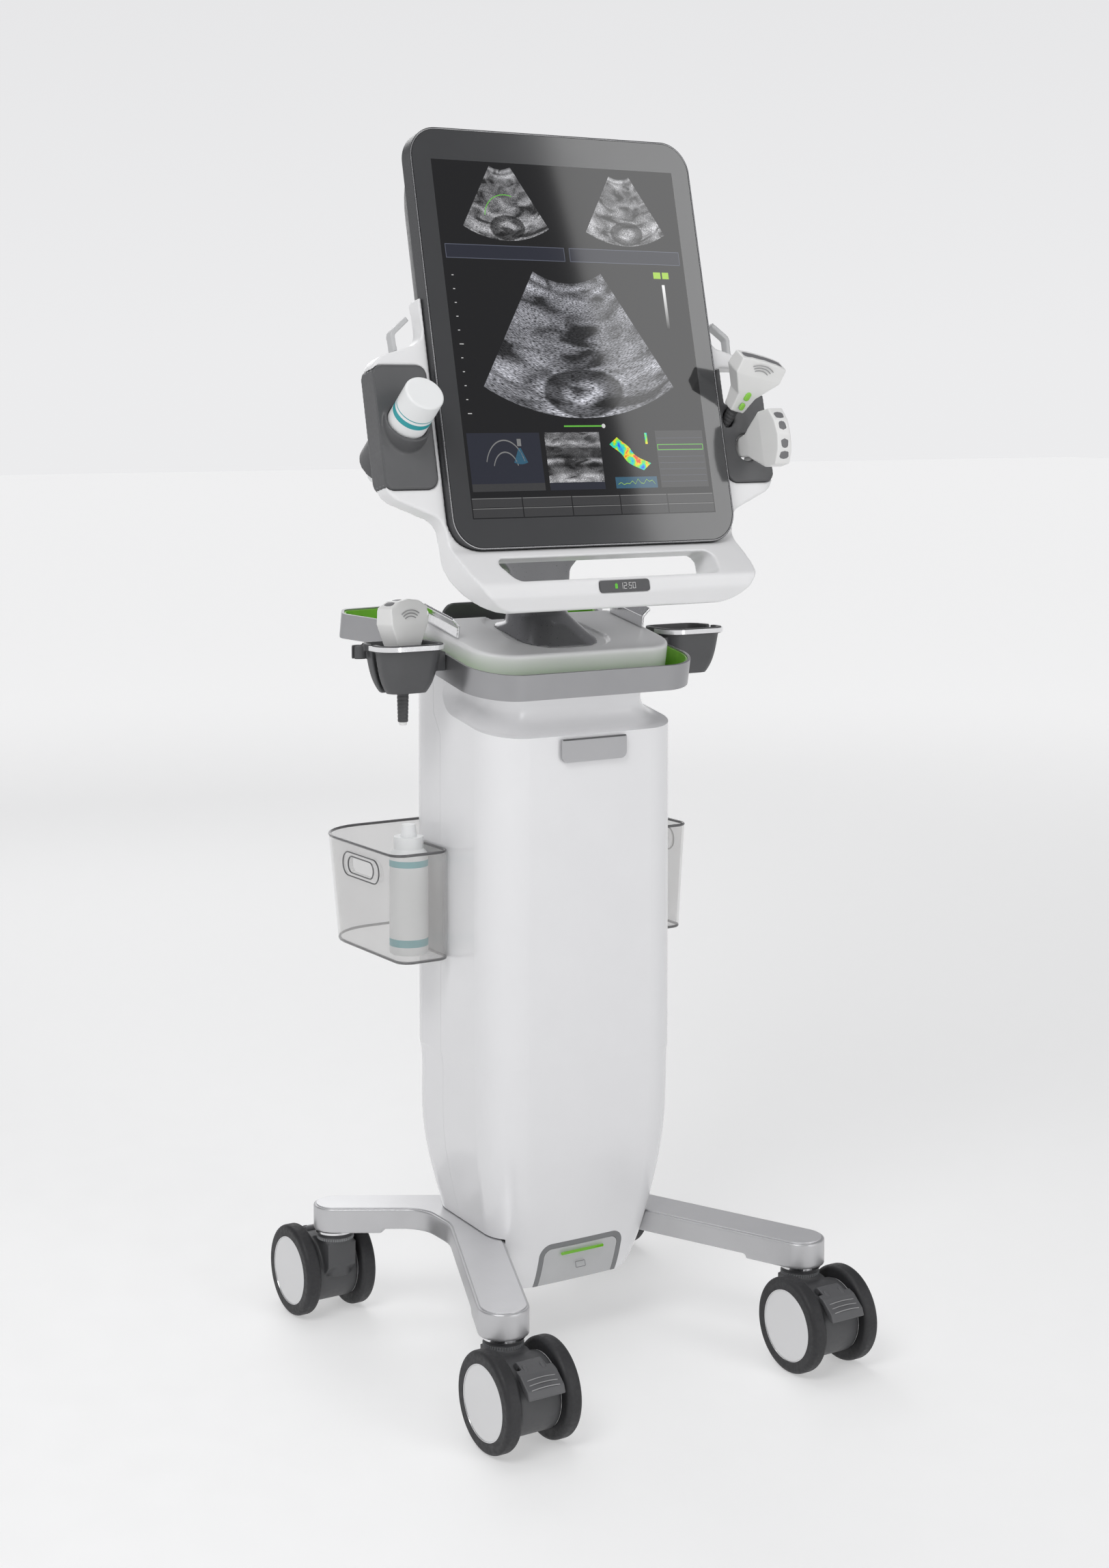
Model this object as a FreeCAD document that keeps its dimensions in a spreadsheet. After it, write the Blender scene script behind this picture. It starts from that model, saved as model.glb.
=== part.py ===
"""Point-of-care ultrasound cart: a wheeled base, a column, a tool deck and a tilting display head.

Millimetres, +Z up, origin on the floor in the middle of the four caster swivels.
The front of the cart faces -Y and +X is on the right of a person who looks at its front.
"""
import FreeCAD, Part
import math
import os
from types import SimpleNamespace

import Sketcher
from FreeCAD import Placement, Rotation, Vector

DIMENSIONS = {
    # running gear
    "track_half": 186, "wheelbase_half": 182, "wheel_trail": 31,
    "wheel_radius": 50, "tyre_width": 17.5, "tyre_bore": 37.6, "tyre_round": 5,
    "caster_half": 42.7, "cap_radius": 37.5, "cap_recess": 1,
    "drum_radius": 38, "drum_gap": 0.6, "axle_radius": 5, "running_gap": 0.05,
    "neck_radius": 17, "neck_top": 101.2, "stem_radius": 6, "stem_top": 124,
    "pedal_reach": 52, "pedal_half": 21, "pedal_pivot_radius": 4,
    # legs
    "leg_half_width": 26, "leg_bottom": 106, "leg_end_bottom": 101.5, "leg_end_length": 58,
    "leg_top": 129, "inlay_inset": 3, "inlay_sheet": 2, "inlay_proud": 1,
    "elbow_x": 98, "elbow_front_y": 22, "elbow_back_y": 128,
    # column
    "column_half": 120, "column_front": 59, "column_back": 135, "column_bottom": 70,
    "column_crown": 2.5, "shell_wall": 3, "shell_gap": 0.3,
    "seam_y": 58, "seam_step": 15, "scoop_length": 121, "shoulder_z": 669,
    "neck_inset": 22, "shoulder_round": 24,
    "mast_half_x": 30, "mast_half_y": 28, "mast_centre_y": 70, "mast_wall": 4,
    "badge_half": 41, "badge_low": 643, "badge_high": 668, "badge_front": 63, "badge_sheet": 2.5,
    "door_half": 47, "door_top": 114, "door_frame_width": 6, "door_hinge_out": 19, "door_hinge_z": 74,
    "io_half": 60, "io_low": 160, "io_high": 310, "io_face": 130, "inlet_x": 30, "pin_x": 24,
    "pin_radius": 3, "pin_length": 15,
    # deck
    "deck_slope": 10.8, "deck_front_y": 75, "deck_front_z": 740,
    "ring_half": 142, "ring_height": 28, "ring_wall": 3, "ring_length": 285, "wing_half": 174,
    "liner_wall": 2, "block_half": 122, "block_front": 28, "block_back": 180, "block_top": 13,
    "holder_x": 181, "holder_y": 30, "holder_top": 770, "holder_bottom": 718,
    "holder_half_x": 37, "holder_half_y": 30, "holder_wall": 3,
    # arm
    "arm_y": 60, "arm_base_top": 815, "tilt_z": 905, "tilt_pin_radius": 7,
    "yoke_half": 72, "hub_half": 51,
    # head, in the leaning frame of the display
    "head_lean": 13, "head_y": 26, "head_z": 1090,
    "glass_half": 175, "glass_low": 221, "glass_high": 224, "glass_round": 32, "glass_sheet": 2,
    "rim_margin": 2.5, "rim_depth": 18, "housing_depth": 92,
    "frame_front": 10, "frame_back": 32, "pod_low": 157, "pod_high": 28, "pod_inner": 183,
    "pod_outer": 245, "bar_front": 33, "bar_low": 292,
    # things that lift out
    "bottle_radius": 21, "bottle_height": 140, "basket_bottle_x": 152, "basket_bottle_y": 71,
    "basket_bottle_z": 429, "basket_low": 426, "basket_depth": 118, "basket_wall": 2.5,
    "basket_half": 191, "basket_draft": 8, "basket_front": 30, "basket_rear": 230,
    "slot_y": 105.5, "slot_z": 520, "slot_half": 28.5,
    "pod_bottle_x": 215, "pod_bottle_out": 40, "pod_bottle_drop": 68,
    "bottle_way_depth": 0.897, "bottle_way_drop": 0.441,
}


class Dim:
    """A number together with the spreadsheet formula that gives it."""

    def __init__(self, number, formula):
        self.number = float(number)
        self.formula = formula

    def __float__(self):
        return self.number

    def __neg__(self):
        return Dim(-self.number, "-({})".format(self.formula))

    def __add__(self, other):
        return Dim(self.number + float(other), "({} + {})".format(self.formula, text_of(other)))

    def __sub__(self, other):
        return Dim(self.number - float(other), "({} - {})".format(self.formula, text_of(other)))

    def __mul__(self, other):
        return Dim(self.number * float(other), "({} * {})".format(self.formula, text_of(other)))


def text_of(size):
    """The formula of a Dim, or a plain number as text."""
    return size.formula if isinstance(size, Dim) else repr(float(size))


doc = FreeCAD.newDocument("UltrasoundCart")
sheet = doc.addObject("Spreadsheet::Sheet", "Dimensions")
for row, (alias, number) in enumerate(DIMENSIONS.items(), start=1):
    sheet.set("A{}".format(row), alias)
    sheet.set("B{}".format(row), str(number))
    sheet.setAlias("B{}".format(row), alias)
doc.recompute()

# D holds each size with its formula, for bound features; N holds it as a plain number read from the sheet.
D = SimpleNamespace(**{alias: Dim(sheet.get(alias), "Dimensions." + alias) for alias in DIMENSIONS})
N = SimpleNamespace(**{alias: float(sheet.get(alias)) for alias in DIMENSIONS})
sub_parts = []


# ---------------------------------------------------------------- helpers

def bind(thing, path, size):
    """Bind one property to a formula of the spreadsheet."""
    thing.setExpression(path, text_of(size))


def put(thing, x=0, y=0, z=0):
    """Bind the position of an object."""
    for axis, size in zip("xyz", (x, y, z)):
        bind(thing, ".Placement.Base." + axis, size)
    return thing


def turn(thing, axis, angle):
    """Bind the rotation of an object about one axis through its own origin."""
    thing.Placement = Placement(thing.Placement.Base, Rotation(Vector(*axis), float(angle) or 1e-9))
    bind(thing, ".Placement.Rotation.Angle", angle)
    return thing


def sub_part(node, thing):
    """Name a finished object and list it for export."""
    thing.Label = node
    sub_parts.append(thing)
    return thing


def origin_plane(body, role):
    return next(item for item in body.Origin.OriginFeatures if item.Role == role)


def box(x, y, z):
    """A Part box between two corners, given as (low, high) along each axis."""
    thing = doc.addObject("Part::Box", "Box")
    for side, (low, high) in zip(("Length", "Width", "Height"), (x, y, z)):
        bind(thing, side, as_dim(high) - low)
    return put(thing, x[0], y[0], z[0])


def as_dim(size):
    return size if isinstance(size, Dim) else Dim(size, repr(float(size)))


def rod(radius, length, x=0, y=0, z=0, along="Z"):
    """A Part cylinder that starts at a point and runs along an axis."""
    thing = doc.addObject("Part::Cylinder", "Rod")
    bind(thing, "Radius", radius)
    bind(thing, "Height", length)
    turned_to = {"X": ((0, 1, 0), 90), "Y": ((1, 0, 0), -90)}
    if along in turned_to:
        turn(thing, *turned_to[along])
    return put(thing, x, y, z)


def cut(base, *tools):
    """Part::Cut of one object by others, one after the other."""
    for tool in tools:
        result = doc.addObject("Part::Cut", "Cut")
        result.Base = base
        result.Tool = tool
        base = result
    return base


def fuse(*things):
    result = doc.addObject("Part::MultiFuse", "Fuse")
    result.Shapes = list(things)
    return result


def common(*things):
    result = doc.addObject("Part::MultiCommon", "Common")
    result.Shapes = list(things)
    return result


def group(*things):
    """Several separate solids that make one sub-part."""
    result = doc.addObject("Part::Compound", "Group")
    result.Links = list(things)
    return result


def feature(shape):
    """A Part::Feature for a shape that neither PartDesign nor a primitive gives."""
    thing = doc.addObject("Part::Feature", "Shape")
    thing.Shape = shape
    return thing


def sketch_polygon(body, plane, corners, offset):
    """A closed sketch whose corners are all bound to the sheet."""
    sketch = body.newObject("Sketcher::SketchObject", "Sketch")
    sketch.AttachmentSupport = (origin_plane(body, plane + "_Plane"), "")
    sketch.MapMode = "FlatFace"
    bind(sketch, ".AttachmentOffset.Base.z", offset)
    flat = [Vector(float(a), float(b), 0) for a, b in corners]
    for index, start in enumerate(flat):
        sketch.addGeometry(Part.LineSegment(start, flat[(index + 1) % len(flat)]), False)
    for index, corner in enumerate(corners):
        sketch.addConstraint(Sketcher.Constraint("Coincident", index, 2, (index + 1) % len(flat), 1))
        for kind, size in zip(("DistanceX", "DistanceY"), corner):
            number = sketch.addConstraint(Sketcher.Constraint(kind, -1, 1, index, 1, float(size)))
            bind(sketch, "Constraints[{}]".format(number), size)
    return sketch


def round_edges(body, base, radius, chosen):
    """PartDesign fillet of the edges that a test picks out."""
    doc.recompute()
    names = ["Edge{}".format(i) for i, edge in enumerate(base.Shape.Edges, start=1) if chosen(edge)]
    fillet = body.newObject("PartDesign::Fillet", "Fillet")
    fillet.Base = (base, names)
    bind(fillet, "Radius", radius)
    body.Tip = fillet
    return fillet


PLANE_AXES = {"XY": (0, 1, 2), "XZ": (0, 2, 1), "YZ": (1, 2, 0)}


def prism(plane, corners, start, end, rounds=()):
    """A padded polygon. rounds lists (radius, corner numbers) for the edges along the pad."""
    body = doc.addObject("PartDesign::Body", "Body")
    towards_viewer = plane == "XZ"
    offset = -as_dim(end) if towards_viewer else start
    sketch = sketch_polygon(body, plane, corners, offset)
    pad = body.newObject("PartDesign::Pad", "Pad")
    pad.Profile = sketch
    bind(pad, "Length", as_dim(end) - start)
    body.Tip = pad
    first, second, depth = PLANE_AXES[plane]
    base = pad
    for radius, numbers in rounds:
        places = [tuple(float(size) for size in corners[n]) for n in numbers]

        def along_pad(edge):
            ends = [vertex.Point for vertex in edge.Vertexes]
            if len(ends) < 2 or abs(ends[0][depth] - ends[1][depth]) < 1e-3:
                return False
            here = (ends[0][first], ends[0][second])
            straight = math.dist(here, (ends[1][first], ends[1][second])) < 1e-3
            return straight and any(math.dist(here, place) < 1e-2 for place in places)

        base = round_edges(body, base, radius, along_pad)
    return body


def turned(profile, rounds=()):
    """A body of revolution about Z from (radius, height) corners. rounds lists (radius, circle radius)."""
    body = doc.addObject("PartDesign::Body", "Body")
    sketch = sketch_polygon(body, "XZ", profile, 0)
    revolution = body.newObject("PartDesign::Revolution", "Revolution")
    revolution.Profile = sketch
    revolution.ReferenceAxis = (sketch, ["V_Axis"])
    revolution.Angle = 360
    body.Tip = revolution
    base = revolution
    for radius, circle in rounds:
        def is_rim(edge):
            return edge.Curve.TypeId == "Part::GeomCircle" and abs(edge.Curve.Radius - float(circle)) < 1e-3

        base = round_edges(body, base, radius, is_rim)
    return body


def rounded_wire(corners, height=0.0):
    """A closed wire in a level plane. Each corner is (x, y) or (x, y, radius)."""
    edges = []
    last = None
    first = None
    count = len(corners)
    for index, corner in enumerate(corners):
        here = Vector(corner[0], corner[1], height)
        before = Vector(corners[index - 1][0], corners[index - 1][1], height)
        after = Vector(corners[(index + 1) % count][0], corners[(index + 1) % count][1], height)
        radius = corner[2] if len(corner) > 2 else 0
        come = (before - here).normalize()
        leave = (after - here).normalize()
        arc_start = arc_end = here
        if radius:
            half = come.getAngle(leave) / 2
            run = radius / math.tan(half)
            arc_start = here + come * run
            arc_end = here + leave * run
            middle = (come + leave).normalize()
            arc_middle = here + middle * (radius / math.sin(half) - radius)
        if last is not None and last.distanceToPoint(arc_start) > 1e-6:
            edges.append(Part.LineSegment(last, arc_start).toShape())
        if radius:
            edges.append(Part.Arc(arc_start, arc_middle, arc_end).toShape())
        first = first or arc_start
        last = arc_end
    if last.distanceToPoint(first) > 1e-6:
        edges.append(Part.LineSegment(last, first).toShape())
    return Part.Wire(edges)


def slab(corners, low, high):
    """A level plate with a rounded outline."""
    return Part.Face(rounded_wire(corners, low)).extrude(Vector(0, 0, high - low))


def upright(corners, front, back):
    """A plate that stands in the XZ plane, from y = front to y = back."""
    flat = slab(corners, -back, -front)
    flat.rotate(Vector(), Vector(1, 0, 0), 90)
    return flat


def sideways(corners, left, right):
    """A plate that stands in the YZ plane, from x = left to x = right."""
    flat = slab(corners, left, right)
    flat.Placement = Placement(Vector(), Rotation(Vector(1, 1, 1), 120))
    return flat


def mirrored(corners):
    """The right half of an outline followed by its mirror image, in order round the outline."""
    left = [(-corner[0],) + tuple(corner[1:]) for corner in reversed(corners)]
    return list(corners) + left


def flip_x(shape):
    return shape.mirror(Vector(), Vector(1, 0, 0))


# ---------------------------------------------------------------- casters

def caster(node, side, end):
    """One twin-wheel caster; side is +-1 along X and end is +-1 along Y."""
    swivel_x = D.track_half * side
    swivel_y = D.wheelbase_half * end
    axle_y = (D.wheelbase_half + D.wheel_trail) * end
    gap_half = D.caster_half - D.tyre_width - D.drum_gap
    drum = rod(D.drum_radius, gap_half * 2, swivel_x - gap_half, axle_y, D.wheel_radius, "X")
    axle_half = D.caster_half - 6
    axle = rod(D.axle_radius, axle_half * 2, swivel_x - axle_half, axle_y, D.wheel_radius, "X")
    neck = rod(D.neck_radius, D.neck_top - D.wheel_radius, swivel_x, swivel_y, D.wheel_radius)
    stem = rod(D.stem_radius, D.stem_top - D.wheel_radius, swivel_x, swivel_y, D.wheel_radius)
    collar = rod(D.neck_radius + 3, 4, swivel_x, swivel_y, D.neck_top - 11)
    web_corners = [(swivel_y - D.neck_radius * end, 88), (swivel_y - D.neck_radius * end, 62),
                   (axle_y - D.drum_radius * 0.7 * end, 40), (axle_y + D.drum_radius * 0.5 * end, 60),
                   (axle_y + D.drum_radius * 0.55 * end, 76), (swivel_y + D.neck_radius * end, 90)]
    web = prism("YZ", web_corners, swivel_x - D.neck_radius, swivel_x + D.neck_radius)
    pivot_y = axle_y + 16 * end
    pivot_z = D.wheel_radius + 36
    groove_half = D.pedal_half - 6
    groove = rod(D.pedal_pivot_radius + 0.5, groove_half * 2, swivel_x - groove_half, pivot_y, pivot_z, "X")
    housing = cut(fuse(drum, axle, neck, stem, collar, web), groove)
    sub_part("caster_housing_" + node, housing)
    for name, hand in (("left", -1), ("right", 1)):
        wheel(node, name, hand, swivel_x, axle_y)
    pedal(node, end, swivel_x, pivot_y, pivot_z)


def wheel(node, name, hand, swivel_x, axle_y):
    """A tyre on its hub with a smooth outer cap; the bore runs on the axle."""
    bore = D.axle_radius + D.running_gap
    tyre_profile = [(D.tyre_bore, 0), (D.wheel_radius, 0), (D.wheel_radius, D.tyre_width),
                    (D.tyre_bore, D.tyre_width)]
    tyre = turned(tyre_profile, [(D.tyre_round, D.wheel_radius)])
    hub_profile = [(bore, 0), (D.cap_radius, 0), (D.cap_radius, D.tyre_width - D.cap_recess),
                   (0, D.tyre_width - D.cap_recess), (0, D.tyre_width - 4), (bore, D.tyre_width - 4)]
    hub = turned(hub_profile, [(0.8, D.cap_radius)])
    pair = group(tyre, hub)
    turn(pair, (0, 1, 0), 90 * hand)
    inner_x = swivel_x + (D.caster_half - D.tyre_width) * hand
    put(pair, inner_x, axle_y, D.wheel_radius)
    sub_part("caster_wheel_{}_{}".format(node, name), pair)


def pedal(node, end, swivel_x, pivot_y, pivot_z):
    """Brake pedal: a knuckle in the housing's groove and a curved lip over the drum."""
    knuckle_half = D.pedal_half - 6.5
    knuckle = rod(D.pedal_pivot_radius, knuckle_half * 2, swivel_x - knuckle_half, pivot_y, pivot_z, "X")
    reach = (D.pedal_reach - 16) * end
    lip_corners = [(pivot_y + 1 * end, pivot_z + 4), (pivot_y - 2 * end, pivot_z + 1.5),
                   (pivot_y + 4 * end, pivot_z + 0.5), (pivot_y + 17 * end, pivot_z - 8),
                   (pivot_y + reach - 4 * end, pivot_z - 22), (pivot_y + reach, pivot_z - 21),
                   (pivot_y + reach - 3 * end, pivot_z - 13), (pivot_y + 19 * end, pivot_z - 2)]
    lip = prism("YZ", lip_corners, swivel_x - D.pedal_half, swivel_x + D.pedal_half)
    notch_y = (pivot_y + 5 * min(end, 0) - 6, pivot_y + 5 * max(end, 0) + 6)
    notch_z = (pivot_z - 6, pivot_z + 8)
    sides = ((-D.pedal_half - 1, -knuckle_half), (knuckle_half, D.pedal_half + 1))
    notches = [box((swivel_x + low, swivel_x + high), notch_y, notch_z) for low, high in sides]
    sub_part("brake_pedal_" + node, cut(fuse(knuckle, lip), *notches))


# ---------------------------------------------------------------- legs

def leg_outline(grow=0.0, end_grow=None):
    """The left pair of legs seen from above: one V that turns round the column."""
    end_grow = grow if end_grow is None else end_grow
    half = N.leg_half_width + grow
    back_half = N.leg_half_width - 2 + grow
    elbow_front = Vector(-N.elbow_x, N.elbow_front_y, 0)
    elbow_back = Vector(-N.elbow_x, N.elbow_back_y, 0)
    front_end = Vector(-N.track_half, -N.wheelbase_half, 0)
    back_end = Vector(-N.track_half, N.wheelbase_half, 0)
    front_way = (front_end - elbow_front).normalize()
    back_way = (back_end - elbow_back).normalize()
    front_side = Vector(-front_way.y, front_way.x, 0)
    back_side = Vector(back_way.y, -back_way.x, 0)
    outer_x = -(N.elbow_x + 16 + grow)
    inner_x = -(60 - grow)

    def at_x(point, way, x):
        return point.y + way.y * (x - point.x) / way.x

    front_outer = elbow_front - front_side * half
    back_outer = elbow_back - back_side * back_half
    back_inner = elbow_back + back_side * back_half
    front_inner = elbow_front + front_side * half
    tip_f = front_end + front_way * half
    tip_b = back_end + back_way * back_half
    return [
        ((tip_f - front_side * half).x, (tip_f - front_side * half).y, half - 0.1),
        ((tip_f + front_side * half).x, (tip_f + front_side * half).y, half - 0.1),
        (front_inner.x, front_inner.y, 10),
        (inner_x, front_inner.y + 14, 6),
        (inner_x, at_x(back_inner, back_way, inner_x), 6),
        ((tip_b + back_side * back_half).x, (tip_b + back_side * back_half).y, back_half - 0.1),
        ((tip_b - back_side * back_half).x, (tip_b - back_side * back_half).y, back_half - 0.1),
        (outer_x, at_x(back_outer, back_way, outer_x), 42),
        (outer_x, at_x(front_outer, front_way, outer_x), 60),
    ]


def leg_pair():
    """Solid of the left legs: thin arms, thicker ends, a recess for the inlay and the stem bores."""
    arms = slab(leg_outline(), N.leg_bottom, N.leg_top)
    ends = slab(leg_outline(), N.leg_end_bottom, N.leg_bottom)
    for y in (-N.wheelbase_half, N.wheelbase_half):
        reach = Part.makeCylinder(N.leg_end_length, 10, Vector(-N.track_half, y, N.leg_end_bottom - 2))
        arms = arms.fuse(ends.common(reach))
    recess = slab(leg_outline(-N.inlay_inset), N.leg_top - N.inlay_sheet + N.inlay_proud, N.leg_top + 1)
    legs = arms.cut(recess)
    for y in (-N.wheelbase_half, N.wheelbase_half):
        bore = Part.makeCylinder(N.stem_radius + N.running_gap, N.stem_top + 0.5 - N.leg_end_bottom + 5,
                                 Vector(-N.track_half, y, N.leg_end_bottom - 5))
        legs = legs.cut(bore)
    return legs


def base_frame():
    left = leg_pair()
    cross = Part.makeBox(2 * 66, 80, 16, Vector(-66, 40, N.leg_bottom))
    frame = left.fuse([flip_x(left), cross]).removeSplitter()
    sub_part("base_frame", feature(frame))
    inlay = slab(leg_outline(-N.inlay_inset - 0.2), N.leg_top - N.inlay_sheet + N.inlay_proud,
                 N.leg_top + N.inlay_proud)
    sub_part("leg_inlays", feature(Part.makeCompound([inlay, flip_x(inlay)])))


# ---------------------------------------------------------------- column

# height, half width at the front, half width at the back, front y, back y
COLUMN_STATIONS = (
    (0, -38, -42, 35, -17),
    (25, -28, -36, 25, -11),
    (57, -19, -29, 17, -6),
    (110, -9, -14, 8, -2),
    (180, -2, -3, 1.5, 0),
    (250, 0, 0, 0, 0),
)


def column_section(height, narrow_front, narrow_back, front_in, back_in, inset):
    """One level section of the column, inset by a wall thickness."""
    half_front = N.column_half + narrow_front - inset
    half_back = N.column_half + narrow_back - inset
    front = -N.column_front + front_in + inset
    back = N.column_back + back_in - inset
    crown = N.column_crown
    corners = mirrored([(half_front, front + crown, 44 + narrow_front * 0.3 - inset),
                        (half_back, back, 40 - inset)])
    return rounded_wire([(0, front, 1400)] + corners, height)


def column_solid(inset, top):
    """The column up to a level top; below it narrows to the chin."""
    wires = [column_section(N.column_bottom + rise, front, back, front_in, back_in, inset)
             for rise, front, back, front_in, back_in in COLUMN_STATIONS]
    lower = Part.makeLoft(wires, True, False)
    straight = Part.Face(wires[-1]).extrude(Vector(0, 0, top - N.column_bottom - COLUMN_STATIONS[-1][0]))
    return lower.fuse(straight)


def deck_frame(shape):
    """Move a shape from the sloping frame of the deck into the cart's frame."""
    shape.Placement = Placement(Vector(0, -N.deck_front_y, N.deck_front_z),
                                Rotation(Vector(1, 0, 0), N.deck_slope)).multiply(shape.Placement)
    return shape


def above_deck():
    """Everything above the underside of the deck ring."""
    return deck_frame(Part.makeBox(600, 700, 400, Vector(-300, -200, -N.ring_height - 0.3)))


def shoulder_scoop(grow=0.0):
    """The recess round the front of the column's top, with a rounded foot, grown into the column."""
    low = N.shoulder_z - N.deck_front_z - grow
    half = N.column_half - N.neck_inset - grow
    front = N.deck_front_y - N.column_front + N.neck_inset + grow
    foot = N.shoulder_round + grow
    far = 160
    side_end = N.scoop_length + grow
    corners = [(far, -60), (far, side_end), (half, side_end, foot + 3), (half, front, 34 - grow)]
    tool = slab(mirrored(corners), low, low + 140)

    def is_foot(edge):
        around = edge.BoundBox
        level = max(abs(around.ZMin - low), abs(around.ZMax - low)) < 1e-3
        return level and around.YMin > front - 0.5 and around.XMin < far - 1 and around.XMax > 1 - far

    tool = tool.makeFillet(foot, [edge for edge in tool.Edges if is_foot(edge)])
    return deck_frame(tool)


def seam_halves():
    """Two blocks that part the column at its side seam, which steps back near the top."""
    step_low = N.shoulder_z - 4
    step_high = N.shoulder_z + 20
    back_y = N.seam_y + N.seam_step
    far = 400

    def block(sign):
        shift = sign * N.shell_gap / 2
        edge = [(N.seam_y + shift, 0), (N.seam_y + shift, step_low), (back_y + shift, step_high),
                (back_y + shift, 1000)]
        return sideways(edge + [(sign * far, 1000), (sign * far, 0)], -far, far)

    return block(-1), block(1)


def door_plate(half, top, corner):
    """A plate across the front foot of the column, wide open at its lower edge."""
    low = N.column_bottom - 20
    return upright([(-half, low), (-half, top, corner), (half, top, corner), (half, low)], -120, 30)


def door_light_groove():
    """A shallow groove for the charge light along the top of the door."""
    return Part.makeBox(56, 6, 4, Vector(-28, -44.2, N.door_top - 9))


def door_hinge():
    """Two barrels behind the door's foot."""
    barrels = []
    for left in (-42, 30):
        barrel = Part.makeCylinder(2.8, 12, Vector(left, -N.door_hinge_out, N.door_hinge_z), Vector(1, 0, 0))
        web = Part.makeBox(12, 8, 3, Vector(left, -N.door_hinge_out - 8, N.door_hinge_z - 1.5))
        barrels.append(barrel.fuse(web))
    return barrels


def badge_plate(slack):
    """The blank metal plate under the shoulder."""
    half = N.badge_half + slack
    outline = [(-half, N.badge_high + slack, 2), (half, N.badge_high + slack, 2),
               (half, N.badge_low - slack, 7), (-half, N.badge_low - slack, 7)]
    return upright(outline, -N.badge_front, -N.badge_front + N.badge_sheet + slack)


def back_opening(slack=0.0):
    """The opening for the connector panel in the back shell."""
    half = N.io_half - slack
    return upright([(-half, N.io_low + slack, 8), (half, N.io_low + slack, 8),
                    (half, N.io_high - slack, 8), (-half, N.io_high - slack, 8)], 118, 150)


def column():
    """Front and back shells, the battery door with its frame, and the blank badge plate."""
    top = 820
    outer = column_solid(0, top)
    inner = column_solid(N.shell_wall, top + 1)
    skin = outer.cut(inner)
    scoop = shoulder_scoop()
    neck_skin = outer.common(shoulder_scoop(N.shell_wall))
    shell = skin.fuse(neck_skin).cut([scoop, above_deck()])
    channel = slab(leg_outline(0.8), N.leg_end_bottom - 1, N.leg_top + 2)
    shell = shell.cut([channel, flip_x(channel), back_opening()])
    front_half, back_half = seam_halves()
    opening = door_plate(N.door_half + N.door_frame_width, N.door_top + N.door_frame_width, 14)
    shell_opening = door_plate(N.door_half + N.door_frame_width + 0.1,
                               N.door_top + N.door_frame_width + 0.1, 14)
    doorway = door_plate(N.door_half, N.door_top, 9)
    leaf = door_plate(N.door_half - N.shell_gap, N.door_top - N.shell_gap, 9)
    front_shell = shell.common(front_half).cut([shell_opening, badge_plate(0.3)])
    sub_part("column_front_shell", feature(largest_solid(front_shell)))
    sub_part("column_back_shell", feature(largest_solid(shell.common(back_half))))
    sub_part("door_frame", feature(skin.common(opening).cut(doorway)))
    door = skin.common(leaf).fuse([barrel.common(column_solid(1, top)) for barrel in door_hinge()])
    sub_part("battery_door", feature(door.cut(door_light_groove())))
    sub_part("badge_plate", feature(badge_plate(0)))
    foot = Part.Face(column_section(N.column_bottom, *COLUMN_STATIONS[0][1:], N.shell_wall + 0.3))
    foot = foot.extrude(Vector(0, 0, N.shell_wall))
    door_corner = Vector(-N.door_half - 2, -72, N.column_bottom - 5)
    room_for_door = Part.makeBox(2 * N.door_half + 4, 60, 20, door_corner)
    sub_part("bottom_cover", feature(foot.cut(room_for_door)))


def largest_solid(shape):
    """The main body of a shape, without slivers that a cut leaves."""
    return max(shape.Solids, key=lambda solid: solid.Volume)


def inner_units():
    """What the column holds: the mast, the battery, the power supply and the electronics."""
    half_x = N.mast_half_x
    low = N.leg_bottom + 16
    y_front = N.mast_centre_y - N.mast_half_y
    tube = Part.makeBox(2 * half_x, 2 * N.mast_half_y, 700, Vector(-half_x, y_front, low))
    wall = N.mast_wall
    hollow = Part.makeBox(2 * (half_x - wall), 2 * (N.mast_half_y - wall), 700,
                          Vector(wall - half_x, y_front + wall, low + wall))
    sub_part("inner_mast", feature(tube.cut([hollow, above_deck()])))
    battery = prism("XY", [(-42, -14), (42, -14), (42, 36), (-42, 36)], D.column_bottom + 6,
                    D.column_bottom + 46, [(4, (0, 1, 2, 3))])
    sub_part("battery_pack", battery)
    y_front = D.mast_centre_y - D.mast_half_y
    boards = box((-70, 70), (y_front - 78, y_front - 8), (330, 560))
    y_back = D.mast_centre_y + D.mast_half_y
    supply = box((-50, 50), (y_back + 1, y_back + 26), (330, 450))
    sub_part("column_electronics", group(boards, supply))


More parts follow.
